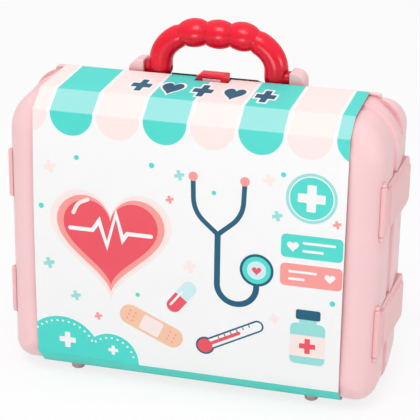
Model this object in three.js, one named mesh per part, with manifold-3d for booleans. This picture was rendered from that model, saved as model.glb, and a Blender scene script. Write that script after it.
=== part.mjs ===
// Toy doctor case: two pink moulded half shells hinged on the left, a red carrying handle and
// centre latch on top, two snap clips on the right and a printed card sleeve over the front.
// Millimetres. X to the right, Y to the back, Z up; the parting plane of the shells is Y = 0
// and the feet stand on Z = 0.

import * as THREE from 'three';
import { mergeVertices } from 'three/addons/utils/BufferGeometryUtils.js';
import Module from 'manifold-3d';

const wasm = await Module();
wasm.setup();

// Fits
const fitGap = 0.3;               // between a piece and what it is seated on
const runningGap = 0.35;          // round a pin that turns
const cutOverrun = 5;             // how far a cutting tool runs past the face it cuts

// Half shells
const caseHalfWidth = 165.5;      // to the crest of the parting bead
const caseTop = 261;
const caseBottom = 5;
const cornerTopRadius = 40;
const cornerBottomRadius = 20;
const leastCornerRadius = 1;
const wall = 2.4;
const frontDepth = 60.5;          // parting plane to the flat of the front
const frontEdgeRadius = 26;
const rearEdgeRadius = 15;
const sideDraft = 0.7;            // how far the side leans in between bead and edge radius
const beadWidth = 4.6;
const beadHeight = 1.4;
const beadRound = 1;
const grooveWidth = 9;
const grooveDepth = 1.1;
const grooveFlank = 2.2;
const tongueHeight = 3;
const tongueThickness = 1.6;

// Rear shell: lowered deck behind the handle and the rail in front of it
const deckDrop = 11;              // below the top of the case
const deckCornerRadius = 21;
const railRise = 0.6;             // above the top of the case
const railMargin = 20.5;          // from the side of the case to the rail's end
const railThickness = 6;
const railEndRadius = 3;
const deckFlank = 1;

// Card sleeve
const sleeveMargin = 30.5;        // from the side of the case to the card's edge
const sleeveThickness = 0.6;
const sleeveGap = 0.5;            // between the card's creases and the front of the shell
const sleeveCrown = 3;            // how far the card bows out at half height
const sleeveTopRear = 20.4;       // the top flap ends this far behind the parting plane
const sleeveTopRise = 2;          // the rear edge of the top flap stands above the bead
const sleeveTopDip = 0.6;         // the crease lies below the bead
const sleeveTopBevel = 13.8;      // height and depth of the folded bevels
const sleeveTopBevelDepth = 19.7;
const sleeveBottomBevel = 15;
const sleeveBottomBevelDepth = 15.6;
const sleeveBottomRise = 2;       // the crease lies above the bead
const sleeveBottomRear = 1.5;     // the bottom flap stops this far in front of the parting plane
const sleeveNotchGap = 1;

// Handle
const handleSetback = 11.9;       // behind the step of the deck
const legCentre = 51.6;           // from the middle of the case
const legRadius = 10.4;
const gripRise = 33.5;            // grip axis above the pivot axis
const pivotRise = 15;             // above the deck
const legStraight = 6;            // straight part of the leg above the pivot
const gripHalf = 16;              // half the straight middle of the grip
const gripBumpPitch = 21.5;
const gripBumpHeight = 2.1;
const gripBumps = 3;
const bossRadius = 6.4;
const bossReach = 2.6;

// Ears that carry the handle
const earThickness = 13.5;        // along the pin
const earDepth = 19;
const earRise = 7.5;              // above the pivot
const earCornerRadius = 10;

// Steel pins
const handlePinRadius = 2.5;
const handlePinInner = 43;        // from the middle of the case
const handlePinDepth = 11;        // into the ear
const hingePinRadius = 1.3;
const latchPinRadius = 1.25;
const clipPinRadius = 1.3;

// Plinth between the handle's legs
const plinthHalfWidth = 38.4;
const plinthHeight = 14.4;
const plinthDepth = 20;
const plinthWall = 2.4;
const plinthFall = 7.8;           // its top slopes down this much to the rear
const plinthRecess = 6.8;         // depth of the recess under the latch
const latchLugHalfWidth = 9.8;
const latchLugRadius = 2.3;

// Centre latch and the catch that it closes over
const latchHalfWidth = 12.7;
const latchRise = 5.7;            // top above the pin
const latchSkirt = 6.6;           // height of the side walls
const latchWall = 1.6;
const latchFall = 1.6;            // the top falls this much to the rear
const latchFrontRound = 1.6;
const latchCornerRadius = 6;
const latchBarrelRadius = 4.2;
const latchGap = 0.7;             // between the latch and what it covers
const latchFront = 10.5;          // behind the parting plane
const latchPinEnd = 1;            // the pin stops this far inside the latch's sides
const latchSetback = 4.7;         // pin behind the step of the deck
const latchPinDrop = 2.1;         // pin below the top of the plinth
const catchHalfWidth = 8.2;
const catchDrop = 3.3;            // below the top of the latch
const catchDepth = 2.9;
const catchTongueRoot = 3.8;      // the tongue starts this far in front of the parting plane
const catchTongueTop = 0.1;       // below the top of the case
const catchTongueBottom = 3.6;
const catchSlotSide = 1.2;        // side and end room that the tongue needs to swing out

// Side straps: snap clips on the right, hinge leaves of the same outline on the left
const strapUpperDrop = 79;        // middle of the upper strap below the top of the case
const strapLowerRise = 68;        // middle of the lower strap above the bottom of the case
const strapBaseHeight = 44;
const strapFaceInset = 6;         // from the edge of the base to the face
const strapNeck = 6.5;            // from the bar's axis to the front end
const strapRearMargin = 22;       // from the back of the case to the rear end
const strapFrontReach = 0.6;      // face beyond the bead at the front end
const strapRearReach = 6;
const strapChamfer = 2.4;
const strapCornerRadius = 4;
const barMargin = 15.5;           // from the flat of the front to the bar's axis
const barRadius = 3.4;
const barShortfall = 0.5;         // the bar ends this far inside the base's edges
const webThickness = 1.8;         // between bar and strap
const strapRootDepth = 13.5;      // the strap blank reaches this far into the case

// Snap clips: each turns on its front bar, which lies in a seat of the front shell
const clipLugLength = 3;
const clipLugRadius = 2.4;
const clipPinEnd = 0.3;           // the pin stops this far inside the lugs

// Left hinge
const hingeAxisReach = 3.3;       // beyond the bead
const knuckleRadius = 2.7;
const knuckleHalf = 7.5;          // half the length of the front leaf's knuckle
const hingeLeafGap = 3.6;         // from the axis to the end of a leaf

// Screws
const screwRadius = 1.4;
const screwHeadRadius = 2.8;
const screwHeadHeight = 1.6;
const plinthScrewLength = 5.4;
const hingeScrewSkin = 0.9;       // left in the leaf over the tip of its screw
const screwBossRadius = 4.4;
const plinthScrewPlace = 24;      // from the middle of the case
const hingeScrewPlace = 16;       // from the parting plane
const hingeScrewSpread = 11;      // above and below the middle of the strap

// Feet
const footSideMargin = 58.5;
const footFrontMargin = 24.5;
const footRearMargin = 20.6;
const footRadius = 6.6;
const footTipRadius = 5.8;
const footTipRound = 0.8;
const footStudRadius = 2.2;
const footStudLength = 4.4;
const footPadRadius = 7.4;
const footPadRise = 2.3;          // flat seat above the bead's lowest line
const footPadHeight = 3;

// Faceting
const cornerSteps = 6;
const edgeSteps = 6;
const roundSteps = 20;
const smallSteps = 12;
const gripSteps = 40;
const crownSteps = 8;

// Sizes that follow
const generalInset = beadHeight;
const edgeInset = generalInset + sideDraft;
const shellFloor = caseBottom + edgeInset;
const sleevePlane = frontDepth + sleeveGap + sleeveThickness;
const sleeveHalfWidth = caseHalfWidth - sleeveMargin;
const rearDepth = sleevePlane + sleeveCrown;
const deckTop = caseTop - deckDrop;
const deckStep = sleeveTopRear + fitGap;
const plinthFront = deckStep + fitGap;
const plinthTop = deckTop + plinthHeight;
const plinthRecessFloor = plinthTop - plinthRecess;
const handlePlane = deckStep + handleSetback;
const pivotHeight = deckTop + pivotRise;
const legOuter = legCentre + legRadius;
const earInner = legOuter + bossReach + fitGap;
const latchPinPlace = deckStep + latchSetback;
const latchPinHeight = plinthTop - latchPinDrop;
const latchTop = latchPinHeight + latchRise;
const latchBottom = latchTop - latchSkirt;
const catchTop = latchTop - catchDrop;
const catchFront = latchFront + fitGap;
const barPlace = frontDepth - barMargin;
const strapFront = barPlace - strapNeck;
const strapRear = rearDepth - strapRearMargin;
const strapRootPlace = caseHalfWidth - strapRootDepth;
const strapHeights = [caseTop - strapUpperDrop, caseBottom + strapLowerRise];
const barHalf = strapBaseHeight / 2 - barShortfall;
const barReach = caseHalfWidth - edgeInset - frontEdgeRadius
  + Math.sqrt(frontEdgeRadius ** 2 - (frontEdgeRadius - barMargin) ** 2);
const clipAxis = [barReach, -barPlace];
const clipLugEnd = barHalf + fitGap + clipLugLength;
const hingeAxis = caseHalfWidth + hingeAxisReach;
const footPlaceX = caseHalfWidth - footSideMargin;
const footFrontPlace = frontDepth - footFrontMargin;
const footRearPlace = rearDepth - footRearMargin;
const footTop = caseBottom + footPadRise - fitGap;

// Surfaces
const finish = (color, roughness, metalness = 0) =>
  new THREE.MeshStandardMaterial({ color, roughness, metalness });
const shellPink = finish('#f9c6c8', 0.42);
const strapPink = finish('#f5bfc0', 0.42);
const handleRed = finish('#ea1c3f', 0.3);
const plinthRed = finish('#7c1229', 0.4);
const cardWhite = finish('#f7f7f5', 0.35);
const footGrey = finish('#f2d3d2', 0.8);
const steel = finish('#b9bcc0', 0.35, 1);

// Geometry helpers

// The solid of a closed geometry.
function solid(geometry) {
  const bare = geometry.index ? geometry.clone() : geometry;
  bare.deleteAttribute('normal');
  bare.deleteAttribute('uv');
  const merged = mergeVertices(bare);
  return new wasm.Manifold(new wasm.Mesh({
    numProp: 3,
    vertProperties: new Float32Array(merged.attributes.position.array),
    triVerts: new Uint32Array(merged.index.array),
  }));
}

// A named mesh from a solid.
function piece(name, body, material) {
  const data = body.getMesh();
  const geometry = new THREE.BufferGeometry();
  geometry.setAttribute('position', new THREE.BufferAttribute(new Float32Array(data.vertProperties), 3));
  geometry.setIndex(new THREE.BufferAttribute(new Uint32Array(data.triVerts), 1));
  geometry.computeVertexNormals();
  const mesh = new THREE.Mesh(geometry, material);
  mesh.name = name;
  return mesh;
}

const join = (bodies) => bodies.reduce((sum, body) => sum.add(body));
const cut = (body, tools) => tools.reduce((rest, tool) => rest.subtract(tool), body);

// A closed skin through rings of equal count, capped at both ends.
function loft(rings) {
  const count = rings[0].length;
  const positions = [];
  const index = [];
  rings.forEach((ring) => ring.forEach((p) => positions.push(p.x, p.y, p.z)));
  for (let row = 0; row + 1 < rings.length; row++) {
    for (let k = 0; k < count; k++) {
      const a = row * count + k;
      const b = row * count + (k + 1) % count;
      index.push(a, b, b + count, a, b + count, a + count);
    }
  }
  [0, rings.length - 1].forEach((row) => {
    const centre = new THREE.Vector3();
    rings[row].forEach((p) => centre.addScaledVector(p, 1 / count));
    const hub = positions.length / 3;
    positions.push(centre.x, centre.y, centre.z);
    for (let k = 0; k < count; k++) {
      const a = row * count + k;
      const b = row * count + (k + 1) % count;
      index.push(...(row === 0 ? [hub, b, a] : [hub, a, b]));
    }
  });
  const geometry = new THREE.BufferGeometry();
  geometry.setAttribute('position', new THREE.Float32BufferAttribute(positions, 3));
  geometry.setIndex(index);
  return outward(geometry);
}

// Turns the faces of a closed skin outwards.
function outward(geometry) {
  const p = geometry.attributes.position;
  const index = geometry.index.array;
  const [a, b, c] = [new THREE.Vector3(), new THREE.Vector3(), new THREE.Vector3()];
  let volume = 0;
  for (let k = 0; k < index.length; k += 3) {
    a.fromBufferAttribute(p, index[k]);
    b.fromBufferAttribute(p, index[k + 1]);
    c.fromBufferAttribute(p, index[k + 2]);
    volume += a.dot(b.cross(c));
  }
  if (volume < 0) {
    for (let k = 0; k < index.length; k += 3) [index[k], index[k + 1]] = [index[k + 1], index[k]];
  }
  return geometry;
}

// A prism of a shape. The shape's two directions and its length run along the named axes.
function prism(points, from, to, along) {
  const shape = new THREE.Shape(points.map(([u, v]) => new THREE.Vector2(u, v)));
  const geometry = new THREE.ExtrudeGeometry(shape, { depth: to - from, bevelEnabled: false });
  geometry.translate(0, 0, from);
  const frame = { X: [[0, 1, 0], [0, 0, 1], [1, 0, 0]], Y: [[0, 0, 1], [1, 0, 0], [0, 1, 0]],
    Z: [[1, 0, 0], [0, 1, 0], [0, 0, 1]] }[along];
  geometry.applyMatrix4(new THREE.Matrix4().makeBasis(...frame.map((v) => new THREE.Vector3(...v))));
  return solid(geometry);
}

// A box between two corners.
function block(low, high) {
  const geometry = new THREE.BoxGeometry(...high.map((v, k) => v - low[k]));
  geometry.translate(...high.map((v, k) => (v + low[k]) / 2));
  return solid(geometry);
}

// A round bar along an axis.
function bar(radius, from, to, along, [u, v], steps = roundSteps) {
  const geometry = new THREE.CylinderGeometry(radius, radius, to - from, steps);
  const middle = (from + to) / 2;
  if (along === 'X') geometry.rotateZ(Math.PI / 2).translate(middle, u, v);
  if (along === 'Y') geometry.translate(u, middle, v);
  if (along === 'Z') geometry.rotateX(Math.PI / 2).translate(u, v, middle);
  return solid(geometry);
}

// Corner points of a rounded rectangle, one radius for each corner, anticlockwise from the lower right.
function roundedRectangle(low, high, radii, steps = cornerSteps) {
  const corners = [[high[0], low[1], 1, -1], [high[0], high[1], 1, 1], [low[0], high[1], -1, 1],
    [low[0], low[1], -1, -1]];
  return corners.flatMap(([u, v, su, sv], k) => Array.from({ length: steps + 1 }, (_, n) => {
    const angle = (k - 1 + n / steps) * Math.PI / 2;
    return [u - su * radii[k] + radii[k] * Math.cos(angle), v - sv * radii[k] + radii[k] * Math.sin(angle)];
  }));
}

const mirrorX = (body) => body.mirror([1, 0, 0]);

// Half shells

// The case's outline at a depth: everything drawn in by an inset from the bead's crest.
function outline(y, inset, top = caseTop, topRadius = cornerTopRadius) {
  const half = caseHalfWidth - inset;
  const upper = Math.max(topRadius - inset, leastCornerRadius);
  const lower = Math.max(cornerBottomRadius - inset, leastCornerRadius);
  return roundedRectangle([-half, caseBottom + inset], [half, top - inset], [lower, upper, upper, lower])
    .map(([x, z]) => new THREE.Vector3(x, y, z));
}

// Depths and insets round a shell's outer edge, from the flat to the side.
function edgeArc(depth, radius, thickness) {
  return Array.from({ length: edgeSteps + 1 }, (_, n) => {
    const angle = (1 - n / edgeSteps) * Math.PI / 2;
    const bend = radius - thickness;
    return [depth - radius + bend * Math.sin(angle), thickness + edgeInset + bend * (1 - Math.cos(angle))];
  });
}

function frontShellSkin() {
  const beadFoot = beadWidth + beadRound;
  const grooveEnd = beadFoot + grooveWidth;
  const outer = [
    ...edgeArc(frontDepth, frontEdgeRadius, 0),
    [grooveEnd + grooveFlank, generalInset],
    [grooveEnd, generalInset + grooveDepth],
    [beadFoot, generalInset + grooveDepth],
    [beadWidth, beadRound / 2],
    [beadWidth - beadRound, 0],
    [beadRound, 0],
    [fitGap / 2, beadRound],
  ].map(([depth, inset]) => outline(-depth, inset));
  const tongueInset = wall + fitGap;
  const innerInset = tongueInset + tongueThickness;
  const rim = [
    outline(-fitGap / 2, tongueInset),
    outline(tongueHeight, tongueInset),
    outline(tongueHeight, innerInset),
  ];
  const inner = edgeArc(frontDepth, frontEdgeRadius, wall).reverse()
    .map(([depth, inset]) => outline(-depth, Math.max(inset, innerInset)));
  return solid(loft([...outer, ...rim, outline(-beadFoot, innerInset), ...inner]));
}

function rearShellSkin() {
  const deck = (inset) => [deckTop + inset, deckCornerRadius + inset];
  const roof = beadRound / 2;
  const arc = edgeArc(rearDepth, rearEdgeRadius, 0);
  const innerArc = edgeArc(rearDepth, rearEdgeRadius, wall).reverse();
  return solid(loft([
    ...arc.map(([depth, inset]) => outline(depth, inset, ...deck(edgeInset))),
    outline(deckStep, roof, ...deck(roof)),
    outline(deckStep - deckFlank, roof),
    outline(beadWidth, 0),
    outline(beadRound, 0),
    outline(fitGap / 2, roof),
    outline(fitGap / 2, wall),
    outline(deckStep - deckFlank - wall, wall + roof),
    outline(deckStep - wall, wall + roof, ...deck(roof)),
    ...innerArc.map(([depth, inset]) => outline(depth, inset, ...deck(edgeInset))),
  ]));
}

// The closed case grown all round: what lies outside it clears the shells.
function envelope(growth) {
  const front = edgeArc(frontDepth + growth, frontEdgeRadius + growth, 0);
  const rear = edgeArc(rearDepth, rearEdgeRadius, 0).reverse();
  const beadFoot = beadWidth + beadRound;
  const grooveEnd = beadFoot + grooveWidth;
  return solid(loft([
    ...front.map(([depth, inset]) => outline(-depth, inset - growth)),
    outline(-grooveEnd - grooveFlank, generalInset - growth),
    outline(-grooveEnd, generalInset + grooveDepth - growth),
    outline(-beadFoot - growth, generalInset + grooveDepth - growth),
    outline(-beadWidth - growth, -growth),
    outline(beadWidth, -growth),
    outline(deckStep, beadRound / 2 - growth),
    ...rear.map(([depth, inset]) => outline(depth + growth, inset - growth)),
  ]));
}

// Ears, rail, feet and screw seats of the shells

function ear() {
  const low = [deckTop - wall, earInner];
  const high = [pivotHeight + earRise, earInner + earThickness];
  const radii = [leastCornerRadius, earCornerRadius, leastCornerRadius, leastCornerRadius];
  const front = handlePlane - earDepth / 2;
  const body = prism(roundedRectangle(low, high, radii), front, front + earDepth, 'Y');
  const hole = bar(handlePinRadius + fitGap, earInner - cutOverrun, earInner + handlePinDepth + fitGap, 'X',
    [handlePlane, pivotHeight]);
  return body.subtract(hole);
}

function rail() {
  const low = [deckTop - wall, earInner + earThickness / 2];
  const high = [caseTop + railRise, caseHalfWidth - railMargin];
  const radii = [leastCornerRadius, railEndRadius, leastCornerRadius, leastCornerRadius];
  return prism(roundedRectangle(low, high, radii), deckStep, deckStep + railThickness, 'Y');
}

const bothSides = (body) => [body, mirrorX(body)];

function footSeat(x, y) {
  const low = caseBottom + footPadRise;
  return bar(footPadRadius, low, low + footPadHeight, 'Z', [x, y]);
}

function footHole(x, y) {
  const recess = bar(footRadius + fitGap, 0, caseBottom + footPadRise, 'Z', [x, y]);
  const studTop = shellFloor + footStudLength + cutOverrun;
  return recess.add(bar(footStudRadius + fitGap, 0, studTop, 'Z', [x, y], smallSteps));
}

// Where the two screws of a hinge leaf stand.
function leafScrewSpots(middle, side) {
  return [hingeScrewSpread, -hingeScrewSpread].map((rise) => [side * hingeScrewPlace, middle + rise]);
}

const hingeScrewSpots = (side) => strapHeights.flatMap((middle) => leafScrewSpots(middle, side));
const screwSeat = -(caseHalfWidth - wall - edgeInset);

// A boss reaches into its wall, which stands further in under the groove of the front shell.
function hingeScrewBoss([y, z]) {
  const root = y < 0 ? wall / 2 : wall + beadRound / 2;
  return bar(screwBossRadius, screwSeat - root, screwSeat, 'X', [y, z], smallSteps);
}

// A blind hole from inside the case, ending under the face of the leaf.
function hingeScrewHole([y, z]) {
  const tip = hingeScrewSkin - strapFace(y);
  return bar(screwRadius + fitGap, tip, screwSeat + cutOverrun, 'X', [y, z], smallSteps);
}

function hingeScrew([y, z]) {
  const seat = screwSeat + fitGap;
  const head = bar(screwHeadRadius, seat, seat + screwHeadHeight, 'X', [y, z], smallSteps);
  return head.add(bar(screwRadius, hingeScrewSkin + fitGap - strapFace(y), seat, 'X', [y, z], smallSteps));
}

const plinthScrewSpots = [-plinthScrewPlace, plinthScrewPlace].map((x) => [x, plinthFront + plinthDepth / 2]);

// The catch stands on a tongue that reaches back over the parting plane in a slot of the rear shell.
function catchTongue() {
  const bottom = caseTop - catchTongueBottom;
  const rear = catchFront + catchDepth;
  const tongue = block([-catchHalfWidth, -catchTongueRoot, bottom],
    [catchHalfWidth, rear, caseTop - catchTongueTop]);
  return tongue.add(block([-catchHalfWidth, catchFront, bottom], [catchHalfWidth, rear, catchTop]));
}

function tongueSlot() {
  const side = catchHalfWidth + catchSlotSide;
  const room = caseTop - catchTongueBottom - cutOverrun;
  const end = catchFront + catchDepth + catchSlotSide;
  return block([-side, -cutOverrun, room], [side, end, caseTop + cutOverrun]);
}

function frontShell() {
  const spots = hingeScrewSpots(-1);
  const feet = bothSides(footSeat(footPlaceX, -footFrontPlace));
  const seats = strapHeights.map(clipSeat);
  const body = join([frontShellSkin(), ...feet, catchTongue(), ...spots.map(hingeScrewBoss), ...seats]);
  return cut(body, [
    ...bothSides(footHole(footPlaceX, -footFrontPlace)),
    ...spots.map(hingeScrewHole),
    ...strapHeights.map(clipSeatCut),
  ]);
}

function rearShell() {
  const spots = hingeScrewSpots(1);
  const body = join([
    rearShellSkin(),
    ...bothSides(ear()),
    ...bothSides(rail()),
    ...bothSides(footSeat(footPlaceX, footRearPlace)),
    ...spots.map(hingeScrewBoss),
    ...strapHeights.map(clipKeeper),
  ]);
  const plinthHoles = plinthScrewSpots.map((spot) =>
    bar(screwRadius + fitGap, deckTop - wall - cutOverrun, deckTop + cutOverrun, 'Z', spot, smallSteps));
  return cut(body, [
    tongueSlot(),
    ...bothSides(footHole(footPlaceX, footRearPlace)),
    ...spots.map(hingeScrewHole),
    ...plinthHoles,
  ]);
}

// Side straps

// How far out the face of a strap stands at a depth.
function strapFace(y) {
  const share = (y + strapFront) / (strapFront + strapRear);
  return caseHalfWidth + strapFrontReach + (strapRearReach - strapFrontReach) * share;
}

// A chamfered plate that straddles the parting plane, reaching into the case.
function strapBlank(middle) {
  const ring = (place, inset) => roundedRectangle(
    [-strapFront + inset, middle - strapBaseHeight / 2 + inset],
    [strapRear - inset, middle + strapBaseHeight / 2 - inset],
    Array(4).fill(strapCornerRadius),
  ).map(([y, z]) => new THREE.Vector3(place(y), y, z));
  return solid(loft([
    ring(() => strapRootPlace, 0),
    ring((y) => strapFace(y) - strapChamfer, 0),
    ring((y) => strapFace(y), strapFaceInset),
  ]));
}

// The round bar at the front end of a strap.
function strapBar(middle) {
  const half = barHalf - barRadius;
  const ball = () => new THREE.SphereGeometry(barRadius, smallSteps, smallSteps / 2).rotateX(Math.PI / 2);
  const ends = [-half, half].map((rise) => solid(ball().translate(...clipAxis, middle + rise)));
  return join([bar(barRadius, middle - half, middle + half, 'Z', clipAxis, smallSteps), ...ends]);
}

// The thin web that joins the bar to the strap, lying on the shell's round edge.
function strapWeb(middle) {
  const half = barHalf - barRadius;
  const reach = block([strapRootPlace, -barPlace, middle - half],
    [caseHalfWidth + strapRearReach, -strapFront + strapCornerRadius, middle + half]);
  return envelope(fitGap + webThickness).intersect(reach);
}

// What the front shell has for one clip: a thickened wall with a lug at each end of the bar.
function clipSeat(middle) {
  const backing = bar(barRadius + fitGap + wall, middle - clipLugEnd, middle + clipLugEnd, 'Z', clipAxis);
  const lugStart = barHalf + fitGap;
  const lugs = [[-clipLugEnd, -lugStart], [lugStart, clipLugEnd]].map(([from, to]) =>
    bar(clipLugRadius, middle + from, middle + to, 'Z', clipAxis, smallSteps));
  return join([backing.intersect(envelope(-wall / 2)), ...lugs]);
}

function clipSeatCut(middle) {
  const half = barHalf + fitGap;
  const end = clipLugEnd + cutOverrun;
  return bar(barRadius + fitGap, middle - half, middle + half, 'Z', clipAxis, smallSteps)
    .add(bar(clipPinRadius + fitGap, middle - end, middle + end, 'Z', clipAxis, smallSteps));
}

// The flat pad on the rear shell that the closed clip lies on, of the clip's outline.
function clipKeeper(middle) {
  const half = strapBaseHeight / 2;
  const zone = block([0, beadWidth, middle - half], [caseHalfWidth, strapRear, middle + half]);
  return strapBlank(middle).intersect(zone).subtract(envelope(-wall / 2));
}

function clip(middle) {
  const half = strapBaseHeight / 2;
  const bore = bar(clipPinRadius + runningGap, middle - half, middle + half, 'Z', clipAxis, smallSteps);
  const rearRoom = block([0, -beadWidth, middle - half - cutOverrun],
    [caseHalfWidth + fitGap, strapRear + cutOverrun, middle + half + cutOverrun]);
  const strap = cut(strapBlank(middle).add(strapWeb(middle)), [envelope(fitGap), rearRoom]);
  return strap.add(strapBar(middle)).subtract(bore);
}

function clipPin(middle) {
  const end = clipLugEnd - clipPinEnd;
  return bar(clipPinRadius, middle - end, middle + end, 'Z', clipAxis, smallSteps);
}

// One leaf of the left hinge; side is -1 for the front leaf and 1 for the rear leaf.
function hingeLeaf(middle, side) {
  const half = strapBaseHeight / 2;
  const knuckleHalves = side < 0 ? [[-knuckleHalf, knuckleHalf]]
    : [[-half + strapChamfer, -knuckleHalf - fitGap], [knuckleHalf + fitGap, half - strapChamfer]];
  const reach = side < 0 ? [-strapFront, -hingeLeafGap] : [hingeLeafGap, strapRear];
  const zone = block([strapRootPlace, reach[0], middle - half],
    [hingeAxis + cutOverrun, reach[1], middle + half]);
  const knuckles = knuckleHalves.flatMap(([from, to]) => {
    const web = [hingeAxis - knuckleRadius, hingeAxis];
    const root = side * (hingeLeafGap + strapCornerRadius);
    return [
      bar(knuckleRadius, middle + from, middle + to, 'Z', [hingeAxis, 0]),
      block([web[0], Math.min(root, 0), middle + from], [strapFace(0), Math.max(root, 0), middle + to]),
    ];
  });
  const lip = side < 0 ? [strapWeb(middle), strapBar(middle)] : [];
  const leaf = cut(join([strapBlank(middle).intersect(zone), ...lip]), [envelope(fitGap)]);
  const bore = bar(hingePinRadius + runningGap, middle - half - cutOverrun, middle + half + cutOverrun, 'Z',
    [hingeAxis, 0], smallSteps);
  const screws = leafScrewSpots(middle, side).map(hingeScrewHole);
  return cut(mirrorX(join([leaf, ...knuckles]).subtract(bore)), screws);
}

const hingePin = (middle) => bar(hingePinRadius, middle - strapBaseHeight / 2 + strapChamfer + fitGap,
  middle + strapBaseHeight / 2 - strapChamfer - fitGap, 'Z', [-hingeAxis, 0], smallSteps);

// Handle and plinth

function handle() {
  const bend = [legCentre - gripHalf, gripRise - legStraight];
  const path = new THREE.Path();
  path.moveTo(-legCentre, 0);
  path.lineTo(-legCentre, legStraight);
  path.absellipse(-gripHalf, legStraight, ...bend, Math.PI, Math.PI / 2, true);
  path.lineTo(gripHalf, gripRise);
  path.absellipse(gripHalf, legStraight, ...bend, Math.PI / 2, 0, true);
  path.lineTo(legCentre, 0);
  const length = path.getLength();
  const rings = Array.from({ length: gripSteps + 1 }, (_, n) => {
    const share = n / gripSteps;
    const centre = path.getPointAt(share);
    const tangent = path.getTangentAt(share);
    const reach = Math.abs(share - 1 / 2) * length;
    const swell = reach < gripBumps / 2 * gripBumpPitch
      ? gripBumpHeight * Math.abs(Math.cos(Math.PI * reach / gripBumpPitch)) : 0;
    const radius = legRadius + swell;
    return Array.from({ length: roundSteps }, (_, k) => {
      const angle = 2 * Math.PI * k / roundSteps;
      const side = radius * Math.cos(angle);
      return new THREE.Vector3(centre.x - side * tangent.y, handlePlane + radius * Math.sin(angle),
        pivotHeight + centre.y + side * tangent.x);
    });
  });
  const ends = bothSides(solid(new THREE.SphereGeometry(legRadius, roundSteps, smallSteps)
    .rotateX(Math.PI / 2).translate(legCentre, handlePlane, pivotHeight)));
  const bosses = bothSides(bar(bossRadius, legCentre, legOuter + bossReach, 'X', [handlePlane, pivotHeight]));
  const bores = bothSides(bar(handlePinRadius + runningGap, 0, legOuter + bossReach + cutOverrun, 'X',
    [handlePlane, pivotHeight]));
  return cut(join([solid(loft(rings)), ...ends, ...bosses]), bores);
}

const handlePin = () => bar(handlePinRadius, handlePinInner, earInner + handlePinDepth, 'X',
  [handlePlane, pivotHeight]);

function plinth() {
  const rear = plinthFront + plinthDepth;
  const base = deckTop + fitGap;
  const side = [[plinthFront, base], [rear, base], [rear, plinthTop - plinthFall], [plinthFront, plinthTop]];
  const outer = prism(side, -plinthHalfWidth, plinthHalfWidth, 'X');
  const recess = block([-latchHalfWidth - latchGap, plinthFront - cutOverrun, plinthRecessFloor],
    [latchHalfWidth + latchGap, rear + cutOverrun, plinthTop + cutOverrun]);
  const hollow = block([-plinthHalfWidth + plinthWall, plinthFront + plinthWall, base - cutOverrun],
    [plinthHalfWidth - plinthWall, rear - plinthWall, plinthRecessFloor - plinthWall]);
  const bosses = plinthScrewSpots.map((spot) =>
    bar(screwBossRadius, base, plinthRecessFloor - plinthWall / 2, 'Z', spot, smallSteps));
  const lug = bar(latchLugRadius, -latchLugHalfWidth, latchLugHalfWidth, 'X',
    [latchPinPlace, latchPinHeight]);
  const stem = block([-latchLugHalfWidth, latchPinPlace - latchLugRadius, plinthRecessFloor - plinthWall / 2],
    [latchLugHalfWidth, latchPinPlace + latchLugRadius / 3, latchPinHeight]);
  const pilot = plinthScrewSpots.map((spot) =>
    bar(screwRadius + fitGap, base - cutOverrun, base + plinthScrewLength, 'Z', spot, smallSteps));
  const pinHole = bar(latchPinRadius + fitGap, -latchHalfWidth, latchHalfWidth, 'X',
    [latchPinPlace, latchPinHeight], smallSteps);
  return cut(join([cut(outer, [recess, hollow]), ...bosses, lug, stem]), [...pilot, pinHole]);
}

function plinthScrew(spot) {
  const seat = deckTop - wall - fitGap;
  const head = bar(screwHeadRadius, seat - screwHeadHeight, seat, 'Z', spot, smallSteps);
  return head.add(bar(screwRadius, seat, seat + plinthScrewLength, 'Z', spot, smallSteps));
}

// Centre latch

// The latch's side view inside a wall thickness.
function latchProfile(thickness) {
  const rearTop = latchTop - latchFall - thickness;
  const barrel = latchBarrelRadius - thickness;
  const arc = Array.from({ length: edgeSteps + 1 }, (_, n) => {
    const angle = Math.PI / 2 - n / edgeSteps * Math.PI * 5 / 6;
    const height = latchPinHeight + barrel * Math.sin(angle);
    return [latchPinPlace + barrel * Math.cos(angle), Math.min(height, rearTop)];
  });
  const front = latchFront + thickness;
  const low = thickness > 0 ? latchBottom - cutOverrun : latchBottom;
  return [
    [front, low],
    [front, latchTop - latchFrontRound - thickness],
    [front + latchFrontRound, latchTop - thickness],
    ...arc,
    [latchPinPlace - barrel / 2, low],
  ].reverse();
}

function topLatch() {
  const inner = latchHalfWidth - latchWall;
  const outer = prism(latchProfile(0), -latchHalfWidth, latchHalfWidth, 'X');
  const hollow = prism(latchProfile(latchWall), -inner, inner, 'X');
  const window = block([-catchHalfWidth - fitGap, latchFront - cutOverrun, latchBottom - cutOverrun],
    [catchHalfWidth + fitGap, latchFront + latchWall + fitGap, catchTop + latchGap]);
  const rear = latchPinPlace + latchBarrelRadius;
  const plan = prism(roundedRectangle([-latchHalfWidth, latchFront - cutOverrun], [latchHalfWidth, rear],
    [leastCornerRadius, latchCornerRadius, latchCornerRadius, leastCornerRadius]), latchBottom - cutOverrun,
  latchTop + cutOverrun, 'Z');
  const boreEnd = latchHalfWidth + cutOverrun;
  const bore = bar(latchPinRadius + runningGap, -boreEnd, boreEnd, 'X', [latchPinPlace, latchPinHeight],
    smallSteps);
  const heel = block([-inner, latchPinPlace, latchBottom - cutOverrun],
    [inner, rear + cutOverrun, latchPinHeight]);
  return cut(outer.intersect(plan), [hollow, window, heel, bore]);
}

const latchPin = () => bar(latchPinRadius, -latchHalfWidth + latchPinEnd, latchHalfWidth - latchPinEnd, 'X',
  [latchPinPlace, latchPinHeight], smallSteps);

// Feet

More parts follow.
